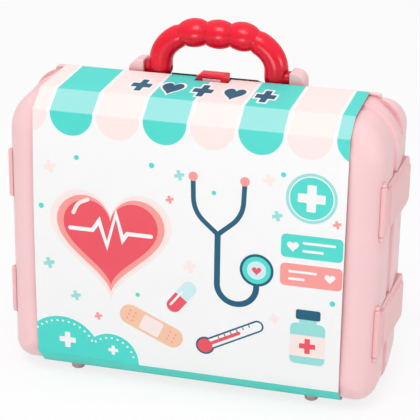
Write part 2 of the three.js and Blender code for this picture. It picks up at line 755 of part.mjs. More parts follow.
function foot(x, y) {
  const profile = [
    [0, 0], [footTipRadius - footTipRound, 0], [footTipRadius, footTipRound], [footRadius, footTop],
    [footStudRadius, footTop], [footStudRadius, footTop + footStudLength], [0, footTop + footStudLength],
  ].map(([r, z]) => new THREE.Vector2(r, z));
  return solid(new THREE.LatheGeometry(profile, roundSteps).rotateX(Math.PI / 2).translate(x, y, 0));
}

// Card sleeve

// The line of the card's outer face from the top flap's rear edge to the bottom flap's rear edge.
function sleeveLine() {
  const topCrease = caseTop - sleeveTopDip;
  const bottomCrease = caseBottom + sleeveBottomRise;
  const high = topCrease - sleeveTopBevel;
  const low = bottomCrease + sleeveBottomBevel;
  const crown = Array.from({ length: crownSteps + 1 }, (_, n) => {
    const share = 2 * n / crownSteps - 1;
    return [-sleevePlane - sleeveCrown * (1 - share * share), (high + low) / 2 - share * (high - low) / 2];
  });
  return [
    [sleeveTopRear, caseTop + sleeveTopRise],
    [sleeveTopBevelDepth - sleevePlane, topCrease],
    ...crown,
    [sleeveBottomBevelDepth - sleevePlane, bottomCrease],
    [-sleeveBottomRear, caseBottom - fitGap - sleeveThickness],
  ];
}

// A line moved sideways by a distance, mitred at its corners.
function offsetLine(line, distance) {
  const normals = line.slice(1).map(([y, z], k) => {
    const [dy, dz] = [y - line[k][0], z - line[k][1]];
    const length = Math.hypot(dy, dz);
    return [-dz / length, dy / length];
  });
  return line.map(([y, z], k) => {
    const before = normals[Math.max(k - 1, 0)];
    const after = normals[Math.min(k, normals.length - 1)];
    const sum = [before[0] + after[0], before[1] + after[1]];
    const scale = 2 * distance / (sum[0] * sum[0] + sum[1] * sum[1]);
    return [y + sum[0] * scale, z + sum[1] * scale];
  });
}

function sleeve() {
  const line = sleeveLine();
  const section = [...line, ...offsetLine(line, sleeveThickness).reverse()];
  const card = prism(section, -sleeveHalfWidth, sleeveHalfWidth, 'X');
  const notchHalf = latchHalfWidth + sleeveNotchGap;
  const latchNotch = block([-notchHalf, latchFront - sleeveNotchGap, caseTop - cutOverrun],
    [notchHalf, sleeveTopRear + cutOverrun, caseTop + cutOverrun]);
  const side = footPadRadius + sleeveNotchGap;
  const footNotch = block([footPlaceX - side, -footFrontPlace - side, 0],
    [footPlaceX + side, sleeveTopRear, shellFloor + sleeveNotchGap]);
  return cut(card, [latchNotch, ...bothSides(footNotch)]);
}

// Assembly

const strapNames = ['upper', 'lower'];
const doctorCase = new THREE.Group();
doctorCase.add(
  piece('front_shell', frontShell(), shellPink),
  piece('rear_shell', rearShell(), shellPink),
  piece('sleeve', sleeve(), cardWhite),
  piece('handle', handle(), handleRed),
  piece('handle_pin_right', handlePin(), steel),
  piece('handle_pin_left', mirrorX(handlePin()), steel),
  piece('handle_plinth', plinth(), plinthRed),
  piece('plinth_screw_left', plinthScrew(plinthScrewSpots[0]), steel),
  piece('plinth_screw_right', plinthScrew(plinthScrewSpots[1]), steel),
  piece('top_latch', topLatch(), handleRed),
  piece('latch_pin', latchPin(), steel),
  piece('foot_front_right', foot(footPlaceX, -footFrontPlace), footGrey),
  piece('foot_front_left', foot(-footPlaceX, -footFrontPlace), footGrey),
  piece('foot_rear_right', foot(footPlaceX, footRearPlace), footGrey),
  piece('foot_rear_left', foot(-footPlaceX, footRearPlace), footGrey),
);
strapHeights.forEach((middle, k) => {
  const name = strapNames[k];
  doctorCase.add(
    piece(`clip_${name}`, clip(middle), strapPink),
    piece(`clip_pin_${name}`, clipPin(middle), steel),
    piece(`hinge_front_leaf_${name}`, hingeLeaf(middle, -1), strapPink),
    piece(`hinge_rear_leaf_${name}`, hingeLeaf(middle, 1), strapPink),
    piece(`hinge_pin_${name}`, hingePin(middle), steel),
    ...leafScrewSpots(middle, -1).map((spot, n) =>
      piece(`hinge_screw_front_${name}_${n + 1}`, hingeScrew(spot), steel)),
    ...leafScrewSpots(middle, 1).map((spot, n) =>
      piece(`hinge_screw_rear_${name}_${n + 1}`, hingeScrew(spot), steel)),
  );
});

export default doctorCase;
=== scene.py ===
"""A toy doctor case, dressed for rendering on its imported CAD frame.

Lengths in the classes are millimetres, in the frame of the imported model: X to the right, Y to the
back, Z up. The parting plane of the two half shells is Y = 0 and the feet stand on Z = 0. Meshes
are turned to metres when they are built. A side of -1 is the left or the front, and 1 the right or
the rear.
"""

import logging
from dataclasses import dataclass, field
from enum import Enum
from math import asin, atan2, cos, exp, pi, radians, sin, sqrt
from typing import Any, Iterable, Sequence

import bmesh
import bpy
from mathutils import Matrix, Vector


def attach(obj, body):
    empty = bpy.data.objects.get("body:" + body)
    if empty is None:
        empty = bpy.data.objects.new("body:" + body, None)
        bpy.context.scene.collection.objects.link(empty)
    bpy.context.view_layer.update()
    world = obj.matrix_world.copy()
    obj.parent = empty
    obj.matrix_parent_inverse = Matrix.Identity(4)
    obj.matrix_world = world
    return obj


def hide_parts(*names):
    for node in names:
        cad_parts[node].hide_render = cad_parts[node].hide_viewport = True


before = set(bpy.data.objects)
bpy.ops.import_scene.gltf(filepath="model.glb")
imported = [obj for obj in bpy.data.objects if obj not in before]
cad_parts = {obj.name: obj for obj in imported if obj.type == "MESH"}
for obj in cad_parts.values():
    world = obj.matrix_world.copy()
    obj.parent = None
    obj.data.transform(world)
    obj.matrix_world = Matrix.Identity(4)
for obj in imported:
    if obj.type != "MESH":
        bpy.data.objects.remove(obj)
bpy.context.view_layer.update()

logging.basicConfig(level=logging.INFO, format="%(message)s")
log = logging.getLogger("doctor_case")

MM = 0.001
Point = tuple[float, float]
Outline = list[Point]
Line = Sequence[Sequence[float]]
Material = bpy.types.Material
Mesh = bpy.types.Mesh
Object = bpy.types.Object


class Body(Enum):
    """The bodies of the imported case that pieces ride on."""

    BASE = "base"
    FRONT = "front"
    CARD = "card"
    HANDLE = "carrying_handle"
    LATCH = "latch"
    UPPER_CLIP = "upper_clip"
    LOWER_CLIP = "lower_clip"


class Slot(Enum):
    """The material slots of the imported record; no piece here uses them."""

    SHELL = "shell_pink"
    STRAP = "strap_pink"
    HANDLE = "handle_red"
    CARD = "printed_card"


# Materials


def linear(hex_colour: str) -> tuple[float, ...]:
    """Turns an sRGB hex colour, such as f9c6c8, to linear light with an alpha of one."""
    shares = [int(hex_colour[k:k + 2], 16) / 255 for k in (0, 2, 4)]
    return (*(s / 12.92 if s <= 0.04045 else ((s + 0.055) / 1.055) ** 2.4 for s in shares), 1)


def add_node(tree: bpy.types.NodeTree, kind: str, settings: dict[Any, Any] | None = None,
             links: dict[Any, bpy.types.NodeSocket] | None = None) -> bpy.types.Node:
    """Adds a node with its settings and links.

    Args:
        tree: The node tree that gets the node.
        kind: The node's type after "ShaderNode", such as "TexNoise".
        settings: Values by input socket name or number, or by the node's own property.
        links: Output sockets by the input socket that each feeds.

    Returns:
        The new node.
    """
    node = tree.nodes.new(f"ShaderNode{kind}")
    for key, value in (settings or {}).items():
        if isinstance(key, int) or key in node.inputs:
            node.inputs[key].default_value = value
        else:
            setattr(node, key, value)
    for key, socket in (links or {}).items():
        tree.links.new(socket, node.inputs[key])
    return node


def empty_tree(owner: Material | bpy.types.World) -> bpy.types.NodeTree:
    """Turns on an owner's nodes and empties them.

    Args:
        owner: The material or world.

    Returns:
        Its node tree.
    """
    owner.use_nodes = True
    owner.node_tree.nodes.clear()
    return owner.node_tree


@dataclass(frozen=True)
class Finish:
    """A skin whose colour drifts a little, with a fine grain in its gloss and relief."""

    name: str  # real material and process
    colour: str
    second: str  # the close colour that it drifts to
    roughness: float = 0.42
    ior: float = 1.5  # which a metal keeps
    sheen: float = 0.5  # strength of the reflection, 0.5 for a clean skin
    grain: Point = (0.8, 2)  # width, and the noise's detail
    drift: Point = (70, 1)  # the same for the colour's drift
    spread: Point = (0.05, 0.05)  # how far the grain takes the roughness down and up
    relief: Point = (0, 0)  # depth of the grain, and strength of its bump
    deep: str = ""  # painted shade: colour that ambient occlusion mixes into grooves and corners, a deeper tint where light meets the pigment more than once
    glow: float = 0  # share of light that enters the skin and comes out again
    metal: float = 0

    def build(self) -> Material:
        """Builds the material."""
        material = bpy.data.materials.new(self.name)
        tree = empty_tree(material)
        place = add_node(tree, "TexCoord").outputs["Object"]
        grain, drift = [add_node(tree, "TexNoise", {"Scale": 1 / (width * MM), "Detail": detail},
                                 {"Vector": place}).outputs["Fac"]
                        for width, detail in (self.grain, self.drift)]
        pigment = {"data_type": "RGBA", 6: linear(self.colour), 7: linear(self.second)}
        colour = add_node(tree, "Mix", pigment, {0: drift}).outputs[2]
        # Painted shade: ambient occlusion draws the colour towards the deep colour in grooves and corners.
        if self.deep:
            painted_shade_ao = add_node(tree, "AmbientOcclusion", {"samples": 8, "Distance": 9 * MM})
            reach = add_node(tree, "MapRange", {"From Min": 0.35, "From Max": 0.95},
                             {"Value": painted_shade_ao.outputs["AO"]})
            colour = add_node(tree, "Mix", {"data_type": "RGBA", 6: linear(self.deep)},
                              {0: reach.outputs["Result"], 7: colour}).outputs[2]
        limits = {"To Min": self.roughness - self.spread[0], "To Max": self.roughness + self.spread[1]}
        gloss = add_node(tree, "MapRange", limits, {"Value": grain}).outputs["Result"]
        skin = {"IOR": self.ior, "Metallic": self.metal, "Subsurface Weight": self.glow,
                "Specular IOR Level": self.sheen}
        shader = add_node(tree, "BsdfPrincipled", skin, {"Base Color": colour, "Roughness": gloss})
        if self.glow:
            shader.inputs["Subsurface Scale"].default_value = 1.5 * MM
        depth, strength = self.relief
        if depth:
            bump = add_node(tree, "Bump", {"Strength": strength, "Distance": depth * MM}, {"Height": grain})
            tree.links.new(bump.outputs["Normal"], shader.inputs["Normal"])
        add_node(tree, "OutputMaterial", links={"Surface": shader.outputs["BSDF"]})
        return material


@dataclass(frozen=True)
class MouldedPlastic(Finish):
    """An injection-moulded plastic with the fine spark texture of its steel tool.

    Real spark pits are 0.05 to 0.1 mm wide. They are drawn 0.8 mm wide, so that the satin breaks up
    the highlights at the size of the picture. Flow marks run a hand's breadth across a shell.
    """

    relief: Point = (0.012, 0.5)


@dataclass(frozen=True)
class VarnishedPrint(Finish):
    """Offset ink on coated packing board under a thin water varnish.

    Coating and varnish have about the index of acrylic, and the varnish isn't quite glossy. Fibres
    of the board show through it as a faint orange peel, about 1.5 mm wide, and the ink lies a little
    unevenly.
    """

    ior: float = 1.47
    sheen: float = 0.2
    grain: Point = (1.5, 3)
    drift: Point = (25, 2)
    spread: Point = (0.06, 0.06)
    relief: Point = (0.01, 0.3)


@dataclass(frozen=True)
class DrawnSteel(Finish):
    """Nickel-plated steel wire and screws, with the lines of the drawing die.

    Die lines are hundredths of a millimetre apart. They are drawn 0.4 mm apart to show.
    """

    roughness: float = 0.32
    grain: Point = (0.4, 2)
    drift: Point = (0.4, 2)
    spread: Point = (0.08, 0.1)
    metal: float = 1


class Finishes:
    """Every finish of the case, built once."""

    def __init__(self) -> None:
        """Builds the materials."""
        # The deep colour of each plastic below is painted shade, mixed into its grooves and corners.
        # Polypropylene is a little waxy: a soft wide highlight and some light inside its skin.
        self.shell = MouldedPlastic("injection_moulded_polypropylene_pink", "fad1d3", "f8cacd", ior=1.49,
                                    deep="e2969c", glow=0.08).build()
        self.strap = MouldedPlastic("injection_moulded_polypropylene_side_pink", "f8c4c5", "f6bec0", 0.4,
                                    1.49, deep="de9097", glow=0.08).build()
        # ABS takes the tool's polish: tight highlights on deep colour.
        self.handle = MouldedPlastic("injection_moulded_abs_red", "f20d30", "ea0a2b", 0.25, 1.54, 0.34,
                                     relief=(0.003, 0.5), deep="a8001e").build()
        # Painted shade: the plinth is red plastic in the shadow under the handle, coloured dark maroon.
        self.plinth = MouldedPlastic("injection_moulded_abs_maroon_painted_shade", "4a1522", "3f111d", 0.36, 1.54,
                                     deep="2b0a12").build()
        # Rubber is matt: no highlight, only a soft bloom.
        self.foot = MouldedPlastic("moulded_thermoplastic_rubber", "f4d8d6", "efcecd", 0.75,
                                   deep="dcb4b2").build()
        self.steel = DrawnSteel("nickel_plated_drawn_steel", "c9ccd1", "9a9da3").build()
        self.board = VarnishedPrint("varnished_coated_board", "f6f6f6", "f4f4f4").build()
        # The back of the board is bare recycled pulp: grey, matt and flecked.
        self.board_back = VarnishedPrint("uncoated_grey_pulp_board", "cfcac2", "bdb7ae", 0.8).build()
        colours = {
            "teal": ("54dcd0", "4fd8cc"),
            "light_teal": ("9ce0dc", "97ddd9"),
            "deep_teal": ("46e0d2", "40dacc"),
            "pale_pink": ("fbe9e6", "fae6e3"),
            "salmon": ("f9a19c", "f79a95"),
            "coral": ("ef5b68", "eb5361"),
            "dark_blue": ("22627f", "1f5c78"),
            "white": ("f6f6f6", "f4f4f4"),
            "skin": ("f7c9ab", "f4c2a2"),
            "ice": ("d3eef2", "caeaee"),
        }
        self.inks = {name: VarnishedPrint(f"varnished_offset_ink_{name}", *pair).build()
                     for name, pair in colours.items()}


# Outlines


def arc(x: float, y: float, radius: float, start: float, end: float, steps: int) -> Outline:
    """Points along a circle about x, y from one angle to another, both ends among them."""
    angles = [start + (end - start) * n / steps for n in range(steps + 1)]
    return [(x + radius * cos(a), y + radius * sin(a)) for a in angles]


def disc(x: float, y: float, radius: float, steps: int = 40) -> Outline:
    """A round outline about a middle."""
    return arc(x, y, radius, 0, 2 * pi, steps)[:-1]


def soften(line: Line, reach: float, steps: int = 4, closed: bool = False) -> list[Vector]:
    """Rounds the corners of a line of points in any number of dimensions.

    Args:
        line: The points.
        reach: How far before and after a corner the rounding starts and ends.
        steps: Pieces of each rounding.
        closed: Whether the line's end joins its start.

    Returns:
        The points of the rounded line.
    """
    points = [Vector(p) for p in line]
    rounded: list[Vector] = []
    for k, point in enumerate(points):
        back = points[k - 1] - point
        ahead = points[(k + 1) % len(points)] - point
        ends = not closed and k in (0, len(points) - 1)
        if ends or back.normalized().dot(ahead.normalized()) < -0.97:
            rounded.append(point)
            continue
        pull = min(reach, 0.45 * back.length, 0.45 * ahead.length)
        start = point + back.normalized() * pull
        end = point + ahead.normalized() * pull
        for n in range(steps + 1):
            t = n / steps
            rounded.append(start * (1 - t) ** 2 + point * (2 * t * (1 - t)) + end * t ** 2)
    return rounded


def rounded_ring(low: Point, high: Point, corner: Sequence[float], steps: int) -> Outline:
    """The outline of a rounded rectangle.

    Args:
        low: Least first and second coordinate.
        high: Greatest first and second coordinate.
        corner: One radius for each corner, anticlockwise from the lower right.
        steps: Pieces of each corner.

    Returns:
        The points, anticlockwise.
    """
    points: Outline = []
    turns = [(high[0], low[1], 1, -1), (*high, 1, 1), (low[0], high[1], -1, 1), (*low, -1, -1)]
    for k, (u, v, su, sv) in enumerate(turns):
        points += arc(u - su * corner[k], v - sv * corner[k], corner[k], (k - 1) * pi / 2, k * pi / 2, steps)
    return points


def span(side: int, near: float, far: float) -> Point:
    """The low and high end of what reaches from near to far on one side."""
    return (min(side * near, side * far), max(side * near, side * far))


# Mesh building


def link(name: str, data: bpy.types.ID) -> Object:
    """Makes an object and links it to the scene.

    Args:
        name: The object's name.
        data: Its mesh, lamp or camera.

    Returns:
        The object.
    """
    thing = bpy.data.objects.new(name, data)
    bpy.context.scene.collection.objects.link(thing)
    return thing


class Axis(Enum):
    """The direction that a bar or a plate runs along."""

    X = "X"
    Y = "Y"
    Z = "Z"

    def place(self, u: float, v: float, along: float) -> Vector:
        """The point at u, v in the outline and this far along the axis."""
        spots = {Axis.X: (along, u, v), Axis.Y: (u, along, v), Axis.Z: (u, v, along)}
        return Vector(spots[self])


@dataclass
class Draft:
    """The mesh of one piece while it is drawn, in millimetres."""

    points: list[Vector] = field(default_factory=list)
    faces: list[tuple[int, ...]] = field(default_factory=list)

    def loft(self, rings: Sequence[Line]) -> None:
        """Adds a closed skin through rings of equal count, with the first and last ring filled.

        Args:
            rings: The rings, each a closed line of points.
        """
        start = len(self.points)
        count = len(rings[0])
        for ring in rings:
            self.points.extend(Vector(p) for p in ring)
        for row in range(len(rings) - 1):
            for k in range(count):
                a = start + row * count + k
                b = start + row * count + (k + 1) % count
                self.faces.append((a, b, b + count, a + count))
        self.faces.append(tuple(range(start, start + count)))
        self.faces.append(tuple(range(len(self.points) - count, len(self.points))))

    def turned(self, profile: Outline, axis: Axis, centre: Point, steps: int = 40) -> None:
        """Adds a turned body, given the radius and the place along the axis of each ring."""
        self.loft([[axis.place(u, v, along) for u, v in disc(*centre, radius, steps)]
                   for radius, along in profile])

    def bar(self, radius: float, low: float, high: float, axis: Axis, centre: Point, rim: float = 0,
            steps: int = 40) -> None:
        """Adds a round bar.

        Args:
            radius: The bar's radius.
            low: Where it starts along the axis.
            high: Where it ends.
            axis: The axis that it runs along.
            centre: Its place in the other two directions.
            rim: Rounding of its ends.
            steps: Points round the bar.
        """
        end = arc(radius - rim, rim, rim, -pi / 2, 0, 3) if rim else [(radius, 0)]
        self.turned([(r, low + d) for r, d in end] + [(r, high - d) for r, d in reversed(end)], axis, centre,
                    steps)

    def tube(self, inner: float, outer: float, low: float, high: float, centre: Point) -> None:
        """Adds an upright tube with softened outer rims.

        Args:
            inner: Inner radius.
            outer: Outer radius.
            low: Where it starts.
            high: Where it ends.
            centre: Its place in plan.
        """
        rim = 0.3
        self.turned([(inner, low), (outer - rim, low), (outer, low + rim), (outer, high - rim),
                     (outer - rim, high), (inner, high), (inner, low)], Axis.Z, centre)
        del self.faces[-2:]

    def box(self, low: Sequence[float], high: Sequence[float]) -> None:
        """Adds a sharp block between two corners, for cutting."""
        ring = [(low[0], low[1]), (high[0], low[1]), (high[0], high[1]), (low[0], high[1])]
        self.loft([[(x, y, z) for x, y in ring] for z in (low[2], high[2])])

    def plate(self, low: Point, high: Point, corner: Sequence[float], thick: Point, axis: Axis,
              rim: float = 0.3) -> None:
        """Adds a rounded rectangular plate with rounded rims.

        Args:
            low: Least u and v of the outline.
            high: Greatest u and v of the outline.
            corner: The outline's corner radii.
            thick: Where the plate starts and ends along the axis.
            axis: The axis across the plate.
            rim: Rounding of its edges.
        """
        turn = arc(rim, rim, rim, -pi / 2, -pi, 4)
        places = [(inset, thick[0] + depth) for inset, depth in turn]
        places += [(inset, thick[1] - depth) for inset, depth in reversed(turn)]
        rings = []
        for inset, along in places:
            outline = rounded_ring((low[0] + inset, low[1] + inset), (high[0] - inset, high[1] - inset),
                                   [max(r - inset, 0.05) for r in corner], 10)
            rings.append([axis.place(u, v, along) for u, v in outline])
        self.loft(rings)

    def mesh(self, name: str) -> Mesh:
        """Turns the draft into a mesh.

        Args:
            name: The mesh's name.

        Returns:
            The mesh, in metres.
        """
        mesh = bpy.data.meshes.new(name)
        mesh.from_pydata([p * MM for p in self.points], [], self.faces)
        work = bmesh.new()
        work.from_mesh(mesh)
        bmesh.ops.remove_doubles(work, verts=work.verts[:], dist=1e-7)
        bmesh.ops.recalc_face_normals(work, faces=work.faces[:])
        work.to_mesh(mesh)
        work.free()
        return mesh


class Work(Enum):
    """What a tool does to a blank."""

    CUT = "DIFFERENCE"
    ADD = "UNION"
    KEEP = "INTERSECT"


def machine(blank: Mesh, tool: Draft, work: Work) -> Mesh:
    """Cuts a tool out of a blank, adds it, or keeps what both share.

    Args:
        blank: The mesh to work on, which is used up.
        tool: The closed forms that are cut, added or kept.
        work: What the tool does.

    Returns:
        The new mesh.
    """
    pair = [link("blank", blank), link("tool", tool.mesh("tool"))]
    step = pair[0].modifiers.new("work", "BOOLEAN")
    step.object = pair[1]
    step.operation = work.value
    step.solver = "EXACT"
    step.use_self = True
    graph = bpy.context.evaluated_depsgraph_get()
    result = bpy.data.meshes.new_from_object(pair[0].evaluated_get(graph))
    used = [one.data for one in pair]
    for one in pair:
        bpy.data.objects.remove(one)
    for mesh in used:
        bpy.data.meshes.remove(mesh)
    return result


def enter(mesh: Mesh, name: str, material: Material, body: Body,
          stands_for: Iterable[str] = (), crease: float = 38) -> Object:
    """Shades a finished mesh smooth, gives it its finish and enters it in the scene.

    Args:
        mesh: The mesh, in metres.
        name: The piece's name.
        material: Its finish.
        body: The body that it rides on.
        stands_for: The CAD nodes that it replaces.
        crease: Edges sharper than this many degrees stay sharp.

    Returns:
        The new object.
    """
    mesh.name = name
    mesh.polygons.foreach_set("use_smooth", [True] * len(mesh.polygons))
    mesh.set_sharp_from_angle(angle=radians(crease))
    mesh.materials.clear()
    mesh.materials.append(material)
    piece = link(name, mesh)
    piece.modifiers.new("even normals", "WEIGHTED_NORMAL").keep_sharp = True
    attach(piece, body.value)
    nodes = list(stands_for)
    if nodes:
        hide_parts(*nodes)
    log.info("%s: %d faces on %s", name, len(mesh.polygons), body.value)
    return piece


def round_edges(piece: Object, width: float, angle: float) -> None:
    """Rounds a piece's edges by a modifier.

    Args:
        piece: The piece.
        width: Width of the rounding.
        angle: Edges that turn by more than this many degrees are rounded.
    """
    rounding = piece.modifiers.new("moulded edge", "BEVEL")
    rounding.width = width * MM
    rounding.segments = 3
    rounding.limit_method = "ANGLE"
    rounding.angle_limit = radians(angle)


def dress_node(name: str, material: Material, bevel: float = 0) -> None:
    """Gives a carried-over CAD node its finish, and rounds its edges by a modifier.

    Args:
        name: The CAD node's name.
        material: Its finish.
        bevel: Width of the edge rounding.
    """
    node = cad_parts[name]
    node.data.materials.clear()
    node.data.materials.append(material)
    if bevel > 0:
        flat = node.modifiers.new("flat faces", "DECIMATE")
        flat.decimate_type = "DISSOLVE"
        flat.angle_limit = radians(2)
        round_edges(node, bevel, 35)
        node.modifiers.new("even normals", "WEIGHTED_NORMAL").keep_sharp = True
    log.info("%s: CAD node dressed", name)


# Half shells


@dataclass
class HalfShells:
    """The two moulded half shells with what is moulded on them."""

    finish: Finishes
    half_width: float = 165.5  # to the crest of the parting bead
    top: float = 261
    bottom: float = 5
    top_radius: float = 40  # of the outline at the bead's crest
    bottom_radius: float = 20
    wall: float = 2.4
    front_depth: float = 60.5  # from the parting plane to the flat
    rear_depth: float = 64.6
    front_edge: float = 26  # radius of the round edge
    rear_edge: float = 15
    bead_height: float = 1.4  # over the sides
    bead_end: float = 4.6  # the bead's slope ends this far behind the parting plane
    ramp: float = -16.8  # the groove's slope starts here
    groove: Point = (-14.6, -5.6)  # and its floor lies between these
    groove_depth: float = 1.5
    solid_groove: float = 1.1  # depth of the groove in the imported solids
    draft: float = 0.7  # how far a side leans in
    tongue: float = 3  # how far the front shell's tongue reaches into the rear shell
    tongue_wall: float = 1.6
    deck: float = 250  # height of the lowered deck
    deck_radius: float = 21
    root: float = 1.8  # how deep ears and rails are rooted in the deck
    step: float = 20.7  # the deck starts this far behind the parting plane
    roof: float = 0.5  # the rear shell's roof lies this far under the bead's crest
    handle_plane: float = 32.6
    pivot: float = 265  # height of the handle's pins
    ear: Point = (64.9, 78.4)
    rail: Point = (71.6, 145)
    gap: float = 0.15  # half the gap between the shells
    foot_x: float = 107
    feet_y: Point = (-36, 44)
    foot_seat: Point = (7.3, 10.3)  # bottom and top of the seat over a foot
    seat_radius: float = 7.4
    stud_bore: float = 2.5  # radius of the bore for a foot's stud

    @property
    def edge_inset(self) -> float:
        """Inset of the side where an edge radius starts."""
        return self.bead_height + self.draft

    def ring(self, y: float, inset: float, top: float, radius: float) -> list[Vector]:
        """The outline of the case at one depth.

        Args:
            y: The depth.
            inset: Inset from the bead's crest.
            top: Top of the outline before the inset.
            radius: Its upper corner radius before the inset.

        Returns:
            The points of the outline.
        """
        half = self.half_width - inset
        upper, lower = max(radius - inset, 1), max(self.bottom_radius - inset, 1)
        outline = rounded_ring((-half, self.bottom + inset), (half, top - inset),
                               [lower, upper, upper, lower], 16)
        return [Vector((x, y, z)) for x, z in outline]

    def edge(self, depth: float, radius: float, thickness: float) -> Outline:
        """Depths and insets round an outer edge, from the flat to the side."""
        bend = radius - thickness
        return arc(depth - radius, thickness + self.edge_inset + bend, bend, 0, -pi / 2, 14)

    def front_skin(self) -> list[list[Vector]]:
        """Draws the section of the front shell round the case.

        Returns:
            Its rings, from the flat round the rim to the inside.
        """
        side, floor = self.bead_height, self.bead_height + self.groove_depth
        outer = [(-d, i) for d, i in self.edge(self.front_depth, self.front_edge, 0)]
        relief = [(-24, side + 0.3), (self.ramp, side), (self.groove[0], floor), (self.groove[1], floor),
                  (-4.4, 0.4), (-3.4, 0), (-1.1, 0), (-self.gap, 1)]
        outside = self.wall + 0.3
        inside = outside + self.tongue_wall
        rim = [(-self.gap, outside), (self.tongue, outside), (self.tongue, inside), (self.groove[1], inside)]
        inner = [(-d, max(i, inside))
                 for d, i in reversed(self.edge(self.front_depth, self.front_edge, self.wall))]
        line = outer[:-1] + soften([outer[-1], *relief], 0.9) + soften(rim, 0.3, 2) + inner
        return [self.ring(*place, self.top, self.top_radius) for place in line]

    def rear_skin(self) -> list[list[Vector]]:
        """Draws the section of the rear shell round the case.

        Returns:
            Its rings, from the flat over deck and rim to the inside.
        """
        roof, step, wall, edge = self.roof, self.step, self.wall, self.edge_inset
        whole = (self.top, self.top_radius)
        # Top and radius grow with the inset here, which keeps the deck level.
        side, lip = [(self.deck + inset, self.deck_radius + inset) for inset in (edge, roof)]
        outer = [(d, i, *side) for d, i in self.edge(self.rear_depth, self.rear_edge, 0)]
        rim = [(step, roof, *lip), (step - 1, roof, *whole), (self.bead_end, 0, *whole),
               (1, 0, *whole), (self.gap, roof, *whole), (self.gap, wall, *whole),
               (step - 1 - wall, wall + roof, *whole), (step - wall, wall + roof, *lip)]
        inner = [(d, i, *side) for d, i in reversed(self.edge(self.rear_depth, self.rear_edge, wall))]
        line = outer[:-1] + soften([outer[-1], *rim, inner[0]], 0.5, 3) + inner[1:]
        return [self.ring(*place) for place in line]

    def envelope(self, growth: float) -> Draft:
        """The closed case grown all round, to cut what lies against it.

        Args:
            growth: How far it is grown; less than zero shrinks it.

        Returns:
            The closed form.
        """
        side, floor = self.bead_height, self.bead_height + self.solid_groove
        front = [(-d, i) for d, i in self.edge(self.front_depth + growth, self.front_edge + growth, 0)]
        rear = [(d + growth, i) for d, i in reversed(self.edge(self.rear_depth, self.rear_edge, 0))]
        middle = [(self.ramp, side), (self.groove[0], floor), (self.groove[1] - growth, floor),
                  (-self.bead_end - growth, 0), (self.bead_end, 0), (self.step, self.roof)]
        form = Draft()
        form.loft([self.ring(y, inset - growth, self.top, self.top_radius)
                   for y, inset in [*front, *middle, *rear]])
        return form

    def add_foot_seat(self, form: Draft, cuts: Draft, x: float, y: float) -> None:
        """Adds a foot's seat to a shell's form, and the bore for its stud to the cuts."""
        form.bar(self.seat_radius, *self.foot_seat, Axis.Z, (x, y), 0.4)
        cuts.bar(self.stud_bore, 0, 18, Axis.Z, (x, y))

    def build_front(self, blocks: "SideBlocks") -> None:
        """Builds the front shell with the catch, the clips' seats and the feet's seats.

        Args:
            blocks: The side blocks, which the shell has seats for.
        """
        backing, front, cuts, lugs = Draft(), Draft(), Draft(), Draft()
        # Radius and half length of a clip's seat, of the pocket in it for the bar and of the pin's bore.
        seat_radius, seat = 6.1, 24.8
        pocket_radius, pocket = 3.7, 21.8
        bore_radius, bore = 1.6, 24.5
        # Radius and length of the lugs round the bore and of the caps over its ends.
        lug_radius, lug = 2.4, 3
        cap_radius, cap, clearance = 2.3, 0.75, 0.05
        for middle in blocks.levels:
            backing.bar(seat_radius, middle - seat, middle + seat, Axis.Z, blocks.axis)
            cuts.bar(pocket_radius, middle - pocket, middle + pocket, Axis.Z, blocks.axis)
            cuts.bar(bore_radius, middle - bore, middle + bore, Axis.Z, blocks.axis)
            for low in (middle - seat, middle + pocket):
                lugs.tube(bore_radius, lug_radius, low, low + lug, blocks.axis)
            for low in (middle + bore + clearance, middle - bore - clearance - cap):
                lugs.bar(cap_radius, low, low + cap, Axis.Z, blocks.axis, 0.6)
        seats = machine(backing.mesh("seats"), self.envelope(-1.2), Work.KEEP)
        front.loft(self.front_skin())
        # The catch stands at the end of a tongue that reaches over the parting plane.
        half, root, face, end, corner = 8.2, -3.8, 10.8, 13.7, [0.5] * 4
        front.plate((-half, root), (half, end), corner, (257.4, 260.9), Axis.Z)
        front.plate((-half, face), (half, end), corner, (258.5, 264.7), Axis.Z, 0.4)
        for side in (-1, 1):
            self.add_foot_seat(front, cuts, side * self.foot_x, self.feet_y[0])
        blocks.add_bosses(front, -1, -162.2)
        blocks.add_screw_holes(cuts, -1)
        moulding = machine(machine(seats, front, Work.ADD), cuts, Work.CUT)
        enter(moulding, "front_shell_moulding", self.finish.shell, Body.FRONT, ["front_shell"])
        enter(lugs.mesh("lugs"), "clip_lugs", self.finish.shell, Body.FRONT)

    def build_rear(self, blocks: "SideBlocks") -> None:
        """Builds the rear shell with deck, ears, rails and the clips' keepers.

        Args:
            blocks: The side blocks, which the shell has seats for.
        """
        rear, cuts = Draft(), Draft()
        rear.loft(self.rear_skin())
